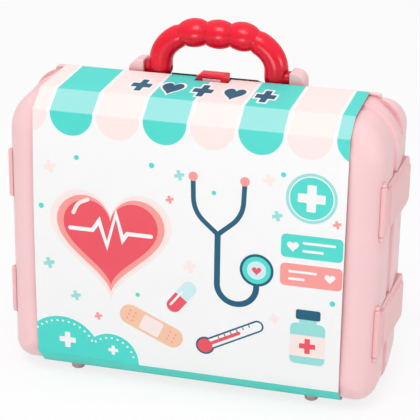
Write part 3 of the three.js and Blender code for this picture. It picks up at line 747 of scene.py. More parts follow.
        # The slot in the roof for the catch's tongue.
        slot, slot_end = 9.4, 14.9
        cuts.box((-slot, -5, 250.5), (slot, slot_end, 266))
        ear_half, ear_rise, screw_hole, pin_bore = 9.5, 7.5, 1.7, 2.8
        for side in (-1, 1):
            low, high = span(side, *self.ear)
            corner = [1, 10, 1.6, 1] if side > 0 else [1, 1.6, 10, 1]
            rear.plate((low, self.deck - self.root), (high, self.pivot + ear_rise), corner,
                       (self.handle_plane - ear_half, self.handle_plane + ear_half), Axis.Y, 1.2)
            low, high = span(side, *self.rail)
            rear.plate((low, self.deck - self.root), (high, self.top + 0.6), [1, 3, 3, 1],
                       (self.step, self.step + 6), Axis.Y, 0.8)
            self.add_foot_seat(rear, cuts, side * self.foot_x, self.feet_y[1])
            cuts.bar(screw_hole, 240, 256, Axis.Z, (side * 24, 31))
            cuts.bar(pin_bore, *span(side, 60, 76.2), Axis.X, (self.handle_plane, self.pivot))
        for middle in blocks.levels:
            rear.plate((self.bead_end, middle - 22), (blocks.rear, middle + 22), [0.8, 4, 4, 0.8],
                       (163.3, self.half_width), Axis.X)
        blocks.add_bosses(rear, 1, -163.9)
        blocks.add_screw_holes(cuts, 1)
        moulding = machine(rear.mesh("rear"), cuts, Work.CUT)
        enter(moulding, "rear_shell_moulding", self.finish.shell, Body.BASE, ["rear_shell"])


# Handle, plinth and latch


@dataclass
class CarryingHandle:
    """The red handle with its finger bumps."""

    finish: Finishes
    plane: float = 32.6
    pivot: float = 265  # height of its pins
    leg: float = 51.6  # leg centre from the middle of the case
    radius: float = 10.4
    rise: float = 33.5  # grip axis above the pins
    straight: float = 6  # straight part of the leg
    grip_half: float = 16  # half the straight middle of the grip
    pitch: float = 21.5  # between finger bumps
    swell: float = 2.3  # height of a bump
    crease: float = 0.9  # depth of the creases between and beside the bumps
    bumps: int = 3

    def centre_line(self) -> list[Vector]:
        """Draws the handle's axis.

        Returns:
            Close points from the left pin over the grip to the right pin.
        """
        rx = self.leg - self.grip_half
        rz = self.rise - self.straight
        half = [Vector((-self.leg, self.plane, self.pivot + n)) for n in range(int(self.straight))]
        half += [Vector((rx * u - self.grip_half, self.plane, self.pivot + self.straight + rz * v))
                 for u, v in arc(0, 0, 1, pi, pi / 2, 40)]
        half += [Vector((x / 2, self.plane, self.pivot + self.rise))
                 for x in range(-2 * int(self.grip_half) + 1, 1)]
        return half + [Vector((-p.x, p.y, p.z)) for p in reversed(half[:-1])]

    def girth(self, reach: float) -> float:
        """Works out how thick the handle is.

        Args:
            reach: Distance along the handle from its middle.

        Returns:
            The radius there.
        """
        beyond = reach - self.bumps / 2 * self.pitch
        if beyond < 0:
            wave = abs(cos(pi * reach / self.pitch)) ** 0.66
            return self.radius - self.crease + (self.swell + self.crease) * wave
        return self.radius - self.crease * exp(-(beyond / 3) ** 2)

    def build(self) -> None:
        """Builds the handle with its two pivot bosses."""
        line = self.centre_line()
        lengths = [0]
        for a, b in zip(line, line[1:]):
            lengths.append(lengths[-1] + (b - a).length)
        rings = []
        for k, centre in enumerate(line):
            tangent = (line[min(k + 1, len(line) - 1)] - line[max(k - 1, 0)]).normalized()
            side = Vector((-tangent.z, 0, tangent.x))
            radius = self.girth(abs(lengths[k] - lengths[-1] / 2))
            rings.append([centre + side * u + Vector((0, v, 0)) for u, v in disc(0, 0, radius)])
        draft, bores = Draft(), Draft()
        draft.loft(rings)
        for end in (-1, 1):
            draft.turned(arc(0, self.pivot, self.radius, -pi / 2, pi / 24, 13)[1:], Axis.Z,
                         (end * self.leg, self.plane))
            draft.bar(6.4, *span(end, self.leg + 4, 64.6), Axis.X, (self.plane, self.pivot), 0.6)
        bores.bar(2.85, -70, 70, Axis.X, (self.plane, self.pivot))
        moulding = machine(draft.mesh("grip"), bores, Work.CUT)
        enter(moulding, "grip_handle", self.finish.handle, Body.HANDLE, ["handle"], crease=50)


@dataclass
class LatchSet:
    """The plinth between the handle's legs, whose dark maroon is painted shade over red plastic, and the red
    latch on it.
    """

    finish: Finishes
    half_width: float = 14.6  # where the latch is widest, ahead of the plinth
    front: float = 10.5
    rear: float = 29.6
    bottom: float = 261.4  # lower edge of its front
    top: float = 268.6
    wall: float = 1.6
    pin: Point = (25.4, 262.3)
    barrel: float = 4.2  # radius of the side walls' round rear foot
    window: Point = (8.5, 265.5)  # half width and top of the window for the catch
    inner: float = 10.3  # half the width inside

    def side_view(self) -> list[Vector]:
        """Draws the latch from the side, with its crowned top and round rear foot.

        Returns:
            The outline's depths and heights.
        """
        y, z = self.pin
        top = [(self.front, self.bottom), (self.front, self.top - 0.5), (self.front + 7, self.top),
               (self.rear - 3.4, self.top - 1), (self.rear, self.top - 3.6)]
        foot = arc(y, z, self.barrel, 0, -pi / 3, 6)[1:]
        return [*soften(top, 1.9, 5), *(Vector(p) for p in foot), Vector((y - self.barrel / 2, self.bottom))]

    def build_latch(self) -> None:
        """Builds the hollow latch with its window."""
        body, plan, roof, cuts = Draft(), Draft(), Draft(), Draft()
        under, over = 250, 275
        wide, inner, front, rear = self.half_width, self.inner, self.front, self.rear
        body.loft([[(x, p.x, p.y) for p in self.side_view()] for x in (-wide, wide)])
        # The plan swells from the front face and draws in where it enters the plinth's recess.
        right = [(12.4, front - 1), (12.6, front + 0.6), (wide, front + 4), (wide, front + 7.2),
                 (13.1, 20.4), (12.6, 26), (10.9, rear + 0.2)]
        outline = soften([*right, *((-x, y) for x, y in reversed(right))], 1.2, 4, closed=True)
        plan.loft([[(p.x, p.y, z) for p in outline] for z in (under, over)])
        hip = [(wide + 0.1, under), (wide + 0.1, self.top - 3.7), (9.4, self.top + 0.2)]
        hips = [*hip, *((-x, z) for x, z in reversed(hip))]
        roof.loft([[(x, y, z) for x, z in hips] for y in (0, 40)])
        hollow = rounded_ring((-inner, front + self.wall), (inner, rear - 1.4), [0.5, 1.2, 1.2, 0.5], 8)
        cuts.loft([[(x, y, z) for x, y in hollow] for z in (under, 265.9)])
        half, high = self.window
        cuts.box((-half, front - 5, under), (half, front + self.wall + 0.3, high))
        cuts.box((-inner, self.pin[0], under), (inner, rear + 5, self.pin[1]))
        cuts.bar(1.6, -20, 20, Axis.X, self.pin, 0, 24)
        latch = machine(body.mesh("latch"), plan, Work.KEEP)
        latch = machine(machine(latch, roof, Work.KEEP), cuts, Work.CUT)
        piece = enter(latch, "top_latch_moulding", self.finish.handle, Body.LATCH,
                      ["top_latch"], crease=30)
        round_edges(piece, 0.7, 32)
        piece.modifiers.move(len(piece.modifiers) - 1, 0)

    def build(self) -> None:
        """Builds the latch and dresses the plinth and the hardware."""
        # The plinth's dark maroon finish is painted shade for red plastic under the handle.
        dress_node("handle_plinth", self.finish.plinth, 0.25)
        self.build_latch()
        for name in ("plinth_screw_left", "plinth_screw_right", "latch_pin", "handle_pin_left",
                     "handle_pin_right"):
            dress_node(name, self.finish.steel)


# Clips, hinges and feet


@dataclass
class SideBlocks:
    """The snap clips on the right and the hinge leaves of the same outline on the left."""

    finish: Finishes
    shells: HalfShells
    levels: Point = (182, 73)  # heights of the blocks' middles
    height: float = 44
    corner: float = 4
    inset: float = 5.4  # of the raised panel from the outline
    chamfer: float = 2.4  # depth of the margin round the panel
    front: float = -38.5
    rear: float = 42.6
    front_reach: float = 0.6  # the face stands this far beyond the bead at the front end
    rear_reach: float = 6  # and this far at the rear end
    axis: Point = (161.185, -45)  # of the round front bar
    bar_radius: float = 3.4
    bar_half: float = 21.5  # half the bar's length
    web: float = 1.8  # thickness between bar and face
    gap: float = 0.3  # between a block and the shells
    bore: float = 1.65
    margin: float = 5  # how far a cutting tool reaches past a block
    hinge: float = 168.8  # axis of the left hinge, out from the middle of the case
    knuckle: float = 2.7  # radius of a hinge knuckle

    def face(self, y: float) -> float:
        """How far out the face stands at a depth."""
        share = (y - self.front) / (self.rear - self.front)
        return self.shells.half_width + self.front_reach + (self.rear_reach - self.front_reach) * share

    def screw_spots(self, side: int) -> Outline:
        """Depth and height of the hinge screws of one shell."""
        return [(side * 16, middle + rise) for middle in self.levels for rise in (-11, 11)]

    def add_bosses(self, draft: Draft, side: int, root: float) -> None:
        """Adds the screw bosses inside one shell's left wall."""
        for spot in self.screw_spots(side):
            draft.bar(4.4, root, -161, Axis.X, spot)

    def add_screw_holes(self, draft: Draft, side: int) -> None:
        """Adds the tools for the blind screw holes through one shell's left wall."""
        for y, z in self.screw_spots(side):
            draft.bar(1.7, 0.9 - self.face(y), -156, Axis.X, (y, z), 0, 24)

    def blank(self, middle: float, lip: bool) -> Draft:
        """Draws a block's plate with its raised panel, whose face leans out to the rear.

        Args:
            middle: Height of its middle.
            lip: Whether it has the round front bar, with the web that joins it to the plate.

        Returns:
            The draft.
        """
        draft = Draft()
        profile = soften([(0, 9), (0, self.chamfer), (self.inset - 1.7, self.chamfer - 0.4),
                          (self.inset, 0), (self.inset + 4, 0)], 0.8, 4)
        half = self.height / 2
        rings = []
        for inset, depth in profile:
            outline = rounded_ring((self.front + inset, middle - half + inset),
                                   (self.rear - inset, middle + half - inset), [self.corner] * 4, 8)
            rings.append([(self.face(y) - depth, y, z) for y, z in outline])
        draft.loft(rings)
        if lip:
            reach = self.bar_half
            draft.bar(self.bar_radius, middle - reach, middle + reach, Axis.Z, self.axis, 1.5)
            shells = self.shells
            radius = shells.front_edge + self.gap + self.web
            x, y = (shells.half_width - shells.edge_inset - shells.front_edge,
                    shells.front_edge - shells.front_depth)
            curve = arc(x, y, radius, 0, -asin((y - self.axis[1]) / radius), 8)
            behind, root = curve[0][1] + self.corner, 150
            web = [*curve, (root, curve[-1][1]), (root, behind), (curve[0][0], behind)]
            reach -= self.bar_radius
            draft.loft([[(x, y, middle + rise) for x, y in web] for rise in (-reach, reach)])
        return draft

    def build_clip(self, level: str, middle: float, body: Body) -> None:
        """Builds one snap clip: plate, web and bar, hollowed where it lies on the case.

        Args:
            level: The clip's level, upper or lower.
            middle: Height of its middle.
            body: The body that it is.
        """
        clip = machine(self.blank(middle, True).mesh("clip"), self.shells.envelope(self.gap), Work.CUT)
        bar, cuts = Draft(), Draft()
        reach = self.bar_half + 0.2
        bar.bar(self.bar_radius, middle - reach, middle + reach, Axis.Z, self.axis, 1.5)
        half = self.height / 2
        far = half + self.margin
        cuts.box((0, -self.shells.bead_end, middle - far),
                 (self.shells.half_width + self.gap, self.rear + self.margin, middle + far))
        cuts.bar(self.bore, middle - half, middle + half, Axis.Z, self.axis)
        clip = machine(machine(clip, bar, Work.ADD), cuts, Work.CUT)
        enter(clip, f"clip_{level}_moulding", self.finish.strap, body, [f"clip_{level}"])

    def build_leaf(self, level: str, middle: float, side: int) -> None:
        """Builds one hinge leaf with its knuckles, drawn on the right and then mirrored.

        Args:
            level: The leaf's level, upper or lower.
            middle: Height of its middle.
            side: -1 for the front leaf, 1 for the rear leaf.
        """
        far = self.height / 2 + self.margin
        cuts = self.shells.envelope(self.gap)
        low, high = span(side, -60, 3.6)
        cuts.box((100, low, middle - far), (200, high, middle + far))
        leaf = machine(self.blank(middle, side < 0).mesh("leaf"), cuts, Work.CUT)
        knuckles, bore, holes = Draft(), Draft(), Draft()
        near, deep = span(side, 0, 7.6)
        for low, high in [(-7.5, 7.5)] if side < 0 else [(-19.6, -7.8), (7.8, 19.6)]:
            knuckles.bar(self.knuckle, middle + low, middle + high, Axis.Z, (self.hinge, 0), 0.3)
            knuckles.box((self.hinge - self.knuckle, near, middle + low),
                         (self.face(0), deep, middle + high))
        bore.bar(self.bore, middle - far, middle + far, Axis.Z, (self.hinge, 0))
        leaf = machine(machine(leaf, knuckles, Work.ADD), bore, Work.CUT)
        flip = bmesh.new()
        flip.from_mesh(leaf)
        bmesh.ops.scale(flip, vec=(-1, 1, 1), verts=flip.verts[:])
        bmesh.ops.reverse_faces(flip, faces=flip.faces[:])
        flip.to_mesh(leaf)
        flip.free()
        self.add_screw_holes(holes, side)
        leaf = machine(leaf, holes, Work.CUT)
        end, body = ("front", Body.FRONT) if side < 0 else ("rear", Body.BASE)
        node = f"hinge_{end}_leaf_{level}"
        enter(leaf, f"{node}_moulding", self.finish.strap, body, [node])

    def build(self) -> None:
        """Builds clips and leaves and dresses pins and screws."""
        bodies = (Body.UPPER_CLIP, Body.LOWER_CLIP)
        for level, middle, body in zip(("upper", "lower"), self.levels, bodies):
            self.build_clip(level, middle, body)
            self.build_leaf(level, middle, -1)
            self.build_leaf(level, middle, 1)
            for name in (f"clip_pin_{level}", f"hinge_pin_{level}",
                         *(f"hinge_screw_{end}_{level}_{n}" for end in ("front", "rear") for n in (1, 2))):
                dress_node(name, self.finish.steel)


@dataclass
class Feet:
    """The four soft feet."""

    finish: Finishes

    def build(self) -> None:
        """Dresses the feet."""
        for name in ("front_left", "front_right", "rear_left", "rear_right"):
            dress_node(f"foot_{name}", self.finish.foot, 0.3)


# Card sleeve and its print


@dataclass
class CardSleeve:
    """The folded board sleeve, with a flat sheet's coordinates mapped onto its folded line."""

    finish: Finishes
    half_width: float = 135
    thickness: float = 0.6
    crown: float = 3  # how far the front bows out
    fold: float = 1.2  # rounding of a crease
    ink_step: float = 0.04  # from one layer of print to the next
    notch: Point = (15.1, 10.9)  # half width and depth of the notch for the latch
    foot_notch: Point = (98.6, 115.4)  # inner and outer side of a front foot's notch
    line: list[Vector] = field(init=False)  # depths and heights from the rear edge of the top flap
    lengths: list[float] = field(init=False)  # along the line, at each of its points
    creases: dict[str, float] = field(init=False)  # the length at each crease

    def __post_init__(self) -> None:
        """Works out the folded line and the arc length along it."""
        high, low, plane = 246.6, 22, -61.6
        bow = []
        for n in range(33):
            share = 2 * n / 32 - 1
            bow.append((plane - self.crown * (1 - share * share),
                        (high + low) / 2 - share * (high - low) / 2))
        corners = [(20.4, 263), (-41.9, 260.4), *bow, (-46, 7), (-1.5, 4.1)]
        self.line = soften(corners, self.fold, 4)
        self.lengths = [0]
        for a, b in zip(self.line, self.line[1:]):
            self.lengths.append(self.lengths[-1] + (b - a).length)
        named = {"top": corners[1], "front_top": bow[0], "front_bottom": bow[-1], "bottom": corners[-2]}
        self.creases = {name: self.nearest(Vector(point)) for name, point in named.items()}

    def nearest(self, point: Vector) -> float:
        """The arc length of the line's point nearest to a point."""
        k = min(range(len(self.line)), key=lambda n: (self.line[n] - point).length)
        return self.lengths[k]

    def place(self, x: float, s: float, lift: float) -> Vector:
        """Maps a point of the flat sheet onto the folded sleeve.

        Args:
            x: Across the sleeve.
            s: Length along it from the rear edge of the top flap.
            lift: Height over the outer face.

        Returns:
            The point in the frame of the case.
        """
        last = len(self.line) - 2
        k = next((n for n in range(last) if self.lengths[n + 1] >= s), last)
        share = (s - self.lengths[k]) / (self.lengths[k + 1] - self.lengths[k])
        point = self.line[k].lerp(self.line[k + 1], share)
        ways = [(self.line[min(n + 1, last + 1)] - self.line[max(n - 1, 0)]).normalized()
                for n in (k, k + 1)]
        way = ways[0].lerp(ways[1], share).normalized()
        return Vector((x, point.x + way.y * lift, point.y - way.x * lift))

    def sheet(self, name: str, outlines: Sequence[Outline], layer: int, material: Material,
              stands_for: Iterable[str] = ()) -> Object:
        """Builds outlines of the flat sheet as a thin skin on the sleeve.

        Args:
            name: The piece's name.
            outlines: Closed outlines in the flat sheet, which don't overlap.
            layer: Number of the print layer; 0 is the board itself.
            material: Its ink or board.
            stands_for: The CAD nodes that it replaces.

        Returns:
            The new object.
        """
        flat = bmesh.new()
        for outline in outlines:
            flat.faces.new([flat.verts.new((x, s, 0)) for x, s in outline])
        low = min(s for outline in outlines for _, s in outline)
        high = max(s for outline in outlines for _, s in outline)
        for s in self.lengths:
            if low < s < high:
                everything = flat.verts[:] + flat.edges[:] + flat.faces[:]
                bmesh.ops.bisect_plane(flat, geom=everything, plane_co=(0, s, 0), plane_no=(0, 1, 0),
                                       dist=1e-5)
        bmesh.ops.triangulate(flat, faces=flat.faces[:])
        bmesh.ops.recalc_face_normals(flat, faces=flat.faces[:])
        for vert in flat.verts:
            vert.co = self.place(vert.co.x, vert.co.y, layer * self.ink_step) * MM
        flat.normal_update()
        inward = [face for face in flat.faces if face.normal.y * face.calc_center_median().y < 0
                  and abs(face.normal.y) > 0.5]
        if len(inward) > len(flat.faces) / 2:
            bmesh.ops.reverse_faces(flat, faces=flat.faces[:])
        mesh = bpy.data.meshes.new(name)
        flat.to_mesh(mesh)
        flat.free()
        return enter(mesh, name, material, Body.CARD, stands_for, crease=60)

    def board_outline(self) -> Outline:
        """Draws the flat board with its notches for latch and feet.

        Returns:
            The outline.
        """
        w, end = self.half_width, self.lengths[-1]
        n, deep = self.notch
        near, far = self.foot_notch
        slot = self.creases["bottom"] + 1.6
        return [(-w, 0), (-n, 0), (-n, deep), (n, deep), (n, 0), (w, 0), (w, end), (far, end), (far, slot),
                (near, slot), (near, end), (-near, end), (-near, slot), (-far, slot), (-far, end), (-w, end)]

    def build(self) -> None:
        """Builds the board and its print."""
        board = self.sheet("sleeve_board", [self.board_outline()], 0, self.finish.board, ["sleeve"])
        board.data.materials.append(self.finish.board_back)
        thick = board.modifiers.new("board thickness", "SOLIDIFY")
        thick.thickness = self.thickness * MM
        thick.offset = -1
        thick.material_offset = 1
        board.modifiers.move(len(board.modifiers) - 1, 0)
        Print(self).build()


def ring_halves(x: float, h: float, inner: float, outer: float) -> list[Outline]:
    """The two halves of a flat ring, which meet without overlapping."""
    return [arc(x, h, outer, start, start + pi, 24) + arc(x, h, inner, start, start + pi, 24)[::-1]
            for start in (0, pi)]


def turned(outline: Outline, x: float, h: float, degrees: float) -> Outline:
    """An outline turned about a point."""
    c, s = cos(radians(degrees)), sin(radians(degrees))
    return [(x + (u - x) * c - (v - h) * s, h + (u - x) * s + (v - h) * c) for u, v in outline]


def slab(x: float, h: float, width: float, height: float, radius: float, turn: float = 0) -> Outline:
    """A rounded rectangle about a middle, turned by so many degrees."""
    flat = rounded_ring((x - width / 2, h - height / 2), (x + width / 2, h + height / 2), [radius] * 4, 8)
    return turned(flat, x, h, turn)


def plus(x: float, h: float, size: float, turn: float = 0, grow: float = 0) -> Outline:
    """Draws a plus sign with softened corners.

    Args:
        x: Its middle across the sleeve.
        h: Height of its middle.
        size: Its width and height.
        turn: Its turn in degrees.
        grow: How far it is grown all round, for a rim.

    Returns:
        The outline.
    """
    arm, reach = size / 6 + grow, size / 2 + grow
    corners = [(arm, arm), (arm, reach), (-arm, reach), (-arm, arm), (-reach, arm), (-reach, -arm),
               (-arm, -arm), (-arm, -reach), (arm, -reach), (arm, -arm), (reach, -arm), (reach, arm)]
    line = soften([(x + u, h + v) for u, v in corners], size / 22, 3, closed=True)
    return turned([(p.x, p.y) for p in line], x, h, turn)


def heart(x: float, h: float, size: float) -> Outline:
    """A heart about a middle, of so much half width."""
    return [(x + size * sin(t) ** 3,
             h + size * (13 * cos(t) - 5 * cos(2 * t) - 2 * cos(3 * t) - cos(4 * t)) / 16)
            for t in (2 * pi * n / 72 for n in reversed(range(72)))]


def stroke(line: Line, width: float) -> Outline:
    """The outline of a drawn line with round ends.

    Args:
        line: The line's points.
        width: Its width.

    Returns:
        One closed outline.
    """
    points = [Vector(p[:2]) for p in line]
    ways = [(b - a).normalized() for a, b in zip(points, points[1:])]
    sides = [Vector((-way.y, way.x)) for way in ways]
    left, right = [], []
    for k, point in enumerate(points):
        before, after = sides[max(k - 1, 0)], sides[min(k, len(sides) - 1)]
        across = (before + after).normalized()
        reach = width / 2 / max(across.dot(after), 0.4)
        left.append(point + across * reach)
        right.append(point - across * reach)
    ends = []
    for centre, start in ((points[-1], sides[-1]), (points[0], -sides[0])):
        angle = atan2(start.y, start.x)
        ends.append([Vector(p) for p in arc(*centre, width / 2, angle, angle - pi, 8)[1:-1]])
    return [(p.x, p.y) for p in left + ends[0] + right[::-1] + ends[1]]


@dataclass
class Print:
    """The generic print on the sleeve: a striped awning, doctor's things and hills at the foot.

    Places on the front are given by x and by the height above the lower front crease.
    """

    sleeve: CardSleeve
    stripe: float = 37.6  # width of an awning stripe
    pitch: float = 40.65  # from one stripe to the next
    first: float = -119.6  # left edge of the first whole stripe

    def lay(self, name: str, ink: str, layer: int, outlines: Sequence[Outline]) -> None:
        """Prints outlines of the flat sheet in one ink."""
        self.sleeve.sheet(f"print_{name}", outlines, layer, self.sleeve.finish.inks[ink])

    def art(self, name: str, ink: str, layer: int, *shapes: Outline) -> None:
        """Prints shapes given in the front's x and height."""
        foot = self.sleeve.creases["front_bottom"]
        self.lay(name, ink, layer, [[(x, foot - h) for x, h in shape] for shape in shapes])

    def awning(self) -> None:
        """Prints the striped awning over top flap, bevel and the top of the front, with a lighter teal on
        the bevel that is print and also painted light.
        """
        edge = self.sleeve.half_width
        end, top = self.sleeve.creases["front_top"], self.sleeve.creases["top"]
        n, deep = self.sleeve.notch
        radius, tip = self.stripe / 2, end + 1.2
        stripes: dict[str, list[Outline]] = {"teal": [], "pale_pink": []}
        bevel_bands_print_and_light: list[Outline] = []
        for k in range(-1, 7):
            low = self.first + k * self.pitch
            high = low + self.stripe
            left, right = max(low, -edge), min(high, edge)
            centre = (low + high) / 2
            round_end = [p for p in arc(centre, tip, radius, 0, pi, 24) if -edge < p[0] < edge]
            if left > low:
                round_end.append((left, tip + sqrt(max(radius ** 2 - (left - centre) ** 2, 0))))
            if right < high:
                round_end.insert(0, (right, tip + sqrt(max(radius ** 2 - (right - centre) ** 2, 0))))
            shape: Outline = [(left, 0)]
            if -n < left < n < right:
                shape = [(left, deep), (n, deep), (n, 0)]
            if left < -n < right < n:
                shape += [(-n, 0), (-n, deep), (right, deep)]
            else:
                shape += [(right, 0)]
            stripes["pale_pink" if k % 2 else "teal"].append(shape + round_end)
            if k % 2 == 0:
                bevel_bands_print_and_light.append([(left, top), (right, top), (right, end), (left, end)])
        for colour, outlines in stripes.items():
            self.lay(f"awning_{colour}", colour, 1, outlines)
        # The lighter teal on the bevel facet is print, and also painted light for the brighter lit facet.
        self.lay("awning_bevel_band_print_and_painted_light", "light_teal", 2, bevel_bands_print_and_light)

    def hills(self, grow: float) -> Outline:
        """The outline of the two round hills at the left of the foot, grown or shrunk.

        Args:
            grow: How far they are grown; less than zero shrinks them.

        Returns:
            The outline, from the foot of the right hill.
        """
        edge, foot = self.sleeve.half_width, 2
        bumps = [(-112, 36 + grow), (-67, 25 + grow)]
        end = bumps[1][0] + bumps[1][1] + 0.5
        line = []
        for n in range(241):
            x = n / 240 * (end + edge) - edge
            line.append((x, foot + max(sqrt(max(radius ** 2 - (x - centre) ** 2, 0))
                                       for centre, radius in bumps)))
        return [(end, 0.05), *reversed(line), (-edge, 0.05)]

    def foot_band(self) -> None:
        """Prints the band on the lower bevel and the low hills that rise from its left end."""
        edge = self.sleeve.half_width
        crease, low = self.sleeve.creases["front_bottom"], self.sleeve.creases["bottom"]
        band = [(-edge, crease), (edge, crease), (edge, low), (-edge, low)]
        self.lay("lower_band", "deep_teal", 1, [band])
        self.art("hills", "teal", 1, self.hills(0))
        line = [Vector(p) for p in self.hills(-4)[1:-1] if p[1] > 1.5]
        spacing = 5.2
        beads, since, last = [], 0, line[0]
        for point in line[1:]:
            since += (point - last).length
            if since >= spacing:
                beads.append(disc(point.x, point.y, 1, 16))
                since = 0
            last = point
        self.art("hill_beads", "white", 2, *beads)
        self.art("hill_plus", "white", 2, plus(-107, 16, 15), plus(-65, 11.5, 9))

    def tags(self) -> None:
        """Prints the two bare tags at the right and the round badge with a plus sign over them."""
        self.art("teal_tag", "teal", 1, slab(108, 129.5, 52, 20.5, 4))
        self.art("salmon_tag", "salmon", 1, slab(108.2, 104, 52.5, 20, 4))
        self.art("tag_hearts", "white", 2, heart(92, 129.5, 5), heart(124, 104, 4.5))
        lines = ((114, 133, 28), (109, 126, 18), (101, 107, 24), (96, 100.5, 14))
        self.art("tag_lines", "white", 2, *(slab(*line, 2.2, 1) for line in lines))
        x, h = 106, 172
        self.art("badge_rim", "light_teal", 1, *ring_halves(x, h, 19, 21.5))
        self.art("badge", "teal", 1, disc(x, h, 18))
        self.art("badge_plus", "white", 2, plus(x, h, 23))

    def flap_signs(self) -> None:
        """Prints plus signs and hearts across the top flap, drawn long to be seen from the front."""
        middle, stretch = self.sleeve.creases["top"] * 0.57, 1.75
        for name, ink, layer, grow in (("rims", "white", 2, 1.7), ("fills", "dark_blue", 3, 0)):
            row = [plus(x, 0, 17, 0, grow) for x in (-54, 0, 54)]
            row += [heart(x, 0, 9.2 + 1.2 * grow) for x in (-27, 27)]
            self.lay(f"flap_sign_{name}", ink, layer, [[(u, middle - stretch * v) for u, v in shape]
                                                       for shape in row])

    def heart_badge(self) -> None:
        """Prints the large heart with its heartbeat line."""
        x, h = -66, 118
        self.art("heart_rim", "pale_pink", 1, heart(x, h, 54))
        self.art("heart_edge", "salmon", 2, heart(x, h, 48))
        self.art("heart_fill", "coral", 3, heart(x, h + 0.5, 42))
        beat = [(-36, 0), (-16, 0), (-10, 9), (-3, -13), (5, 17), (11, -6),
                (15, 0), (36, 0)]
        self.art("heartbeat", "white", 4, stroke([(x + u, h + 5 + v) for u, v in beat], 3.6))
        shine = soften([(-33, 18), (-29, 27), (-20, 31)], 8, 6)
        self.art("heart_shine", "pale_pink", 4, stroke([(x + p.x, h + 1 + p.y) for p in shine], 3.4))

    def stethoscope(self) -> None:
        """Prints the stethoscope."""
        yoke = (28, 132)
        for side, x, lean, layer in (("left", 6, 1, 1), ("right", 50, -1, 2)):
            tube = soften([(x, 178), (x + lean, 150), yoke], 20, 10)
            self.art(f"ear_tube_{side}", "dark_blue", layer, stroke(tube, 4.2))
        fall = [yoke, *arc(45, 88, 17, pi, 2 * pi, 24), (62, 98)]
        self.art("chest_tube", "dark_blue", 3, stroke(fall, 5.2))
        self.art("ear_tips", "salmon", 3, disc(6, 180.5, 4), disc(50, 180.5, 4))
        self.art("chest_piece", "dark_blue", 4, disc(62, 104, 14.5))
        self.art("chest_rim", "teal", 5, disc(62, 104, 12.2))
        self.art("chest_face", "ice", 6, disc(62, 104, 8.2))
        self.art("chest_heart", "coral", 7, heart(62, 103.7, 4))

    def remedies(self) -> None:
        """Prints the thermometer, the sticking plaster, the capsule and the medicine bottle."""
        x, h, turn = 42, 41, 28
        bulb = turned([(x - 27, h)], x, h, turn)[0]
        self.art("thermometer_edge", "dark_blue", 3, slab(x, h, 60, 11, 5.4, turn))
        self.art("thermometer_bulb_edge", "dark_blue", 4, disc(*bulb, 8.2))
        self.art("thermometer_glass", "white", 5, slab(x, h, 57, 8, 3.9, turn))
        self.art("thermometer_bulb", "coral", 6, disc(*bulb, 6.6))
        self.art("thermometer_column", "coral", 7, slab(x - 8, h - 4.2, 34, 3, 1.4, turn))
        ticks = [turned(slab(x + u, h + 2.6, 0.9, 2.4, 0.4), x, h, turn) for u in range(-12, 19, 6)]
        self.art("thermometer_ticks", "dark_blue", 8, *ticks)
        x, h, turn = -30, 40, -24
        self.art("plaster_strip", "skin", 3, slab(x, h, 60, 19, 9.4, turn))
        self.art("plaster_pad", "pale_pink", 4, slab(x, h, 19, 15, 2, turn))
        holes = [turned(disc(x + u, h + v, 1, 12), x, h, turn)
                 for u in (-22, -17, 17, 22) for v in (-4, 0, 4)]
        self.art("plaster_holes", "salmon", 4, *holes)
        x, h, turn = -3, 71, 52
        end, radius = x + 10.5, 6.5
        half = [(end, h + radius), (x, h + radius), (x, h - radius), (end, h - radius),
                *arc(end, h, radius, -pi / 2, pi / 2, 16)[1:-1]]
        self.art("capsule_coral", "coral", 3, slab(x, h, 34, 13, 6.4, turn))
        self.art("capsule_pale", "ice", 4, turned(half, x, h, turn))
        self.art("capsule_shine", "white", 5, turned(slab(x - 4, h + 2.6, 18, 2, 0.9), x, h, turn))
        x = 107
        self.art("bottle_glass", "light_teal", 3, slab(x, 42, 30, 38, 5))
        self.art("bottle_label", "pale_pink", 4, slab(x, 40, 30, 20, 0.8))
        self.art("bottle_plus", "coral", 5, plus(x, 40, 14))
        self.art("bottle_neck", "light_teal", 3, slab(x, 63, 15, 3.4, 0.6))
        self.art("bottle_cap", "dark_blue", 4, slab(x, 69, 21, 9, 2))

    def small_signs(self) -> None:
        """Prints the small pale signs between the large ones."""
        pale = {
            "light_teal": ((-122, 88, 10), (-6, 180, 9), (78, 154, 9), (-98, 60, 9)),
            "pale_pink": ((-120, 176, 11), (4, 100, 11), (70, 184, 10), (78, 62, 9)),
            "salmon": ((-78, 43, 7), (-14, 158, 7), (128, 152, 7)),
        }
        for ink, places in pale.items():
            self.art(f"small_plus_{ink}", ink, 1, *(plus(*place, 15) for place in places))
        dots = ((-128, 140, 2.4), (-30, 186, 2.4), (24, 168, 2), (-96, 186, 2.2),
                (127, 82, 2.4), (-42, 68, 2), (82, 190, 2.2))
        self.art("small_dots", "teal", 1, *(disc(*dot, 20) for dot in dots))

    def build(self) -> None:
        """Prints everything."""
        for draw in (self.awning, self.foot_band, self.tags, self.flap_signs, self.heart_badge,
                     self.stethoscope, self.remedies, self.small_signs):
            draw()


# Studio


@dataclass
class SoftBox:
    """A square soft lamp of a plain studio, given in metres."""

    name: str
    place: tuple[float, float, float]
    size: float  # edge length
    watts: float
    aim: float = 0.13  # height over the middle of the case that it is turned to
    gloss_only: bool = False  # shows in the gloss alone, as a small reflector does

    def build(self) -> None:
        """Hangs the lamp, turned to the case."""
        lamp = bpy.data.lights.new(self.name, "AREA")
        lamp.size = self.size
        lamp.energy = self.watts
        holder = link(self.name, lamp)
        holder.location = self.place
        if self.gloss_only:
            holder.visible_camera = False
            holder.visible_diffuse = False
        way = Vector((0, 0, self.aim)) - Vector(self.place)
        holder.rotation_euler = way.to_track_quat("-Z", "Y").to_euler()
        log.info("%s: lamp", self.name)


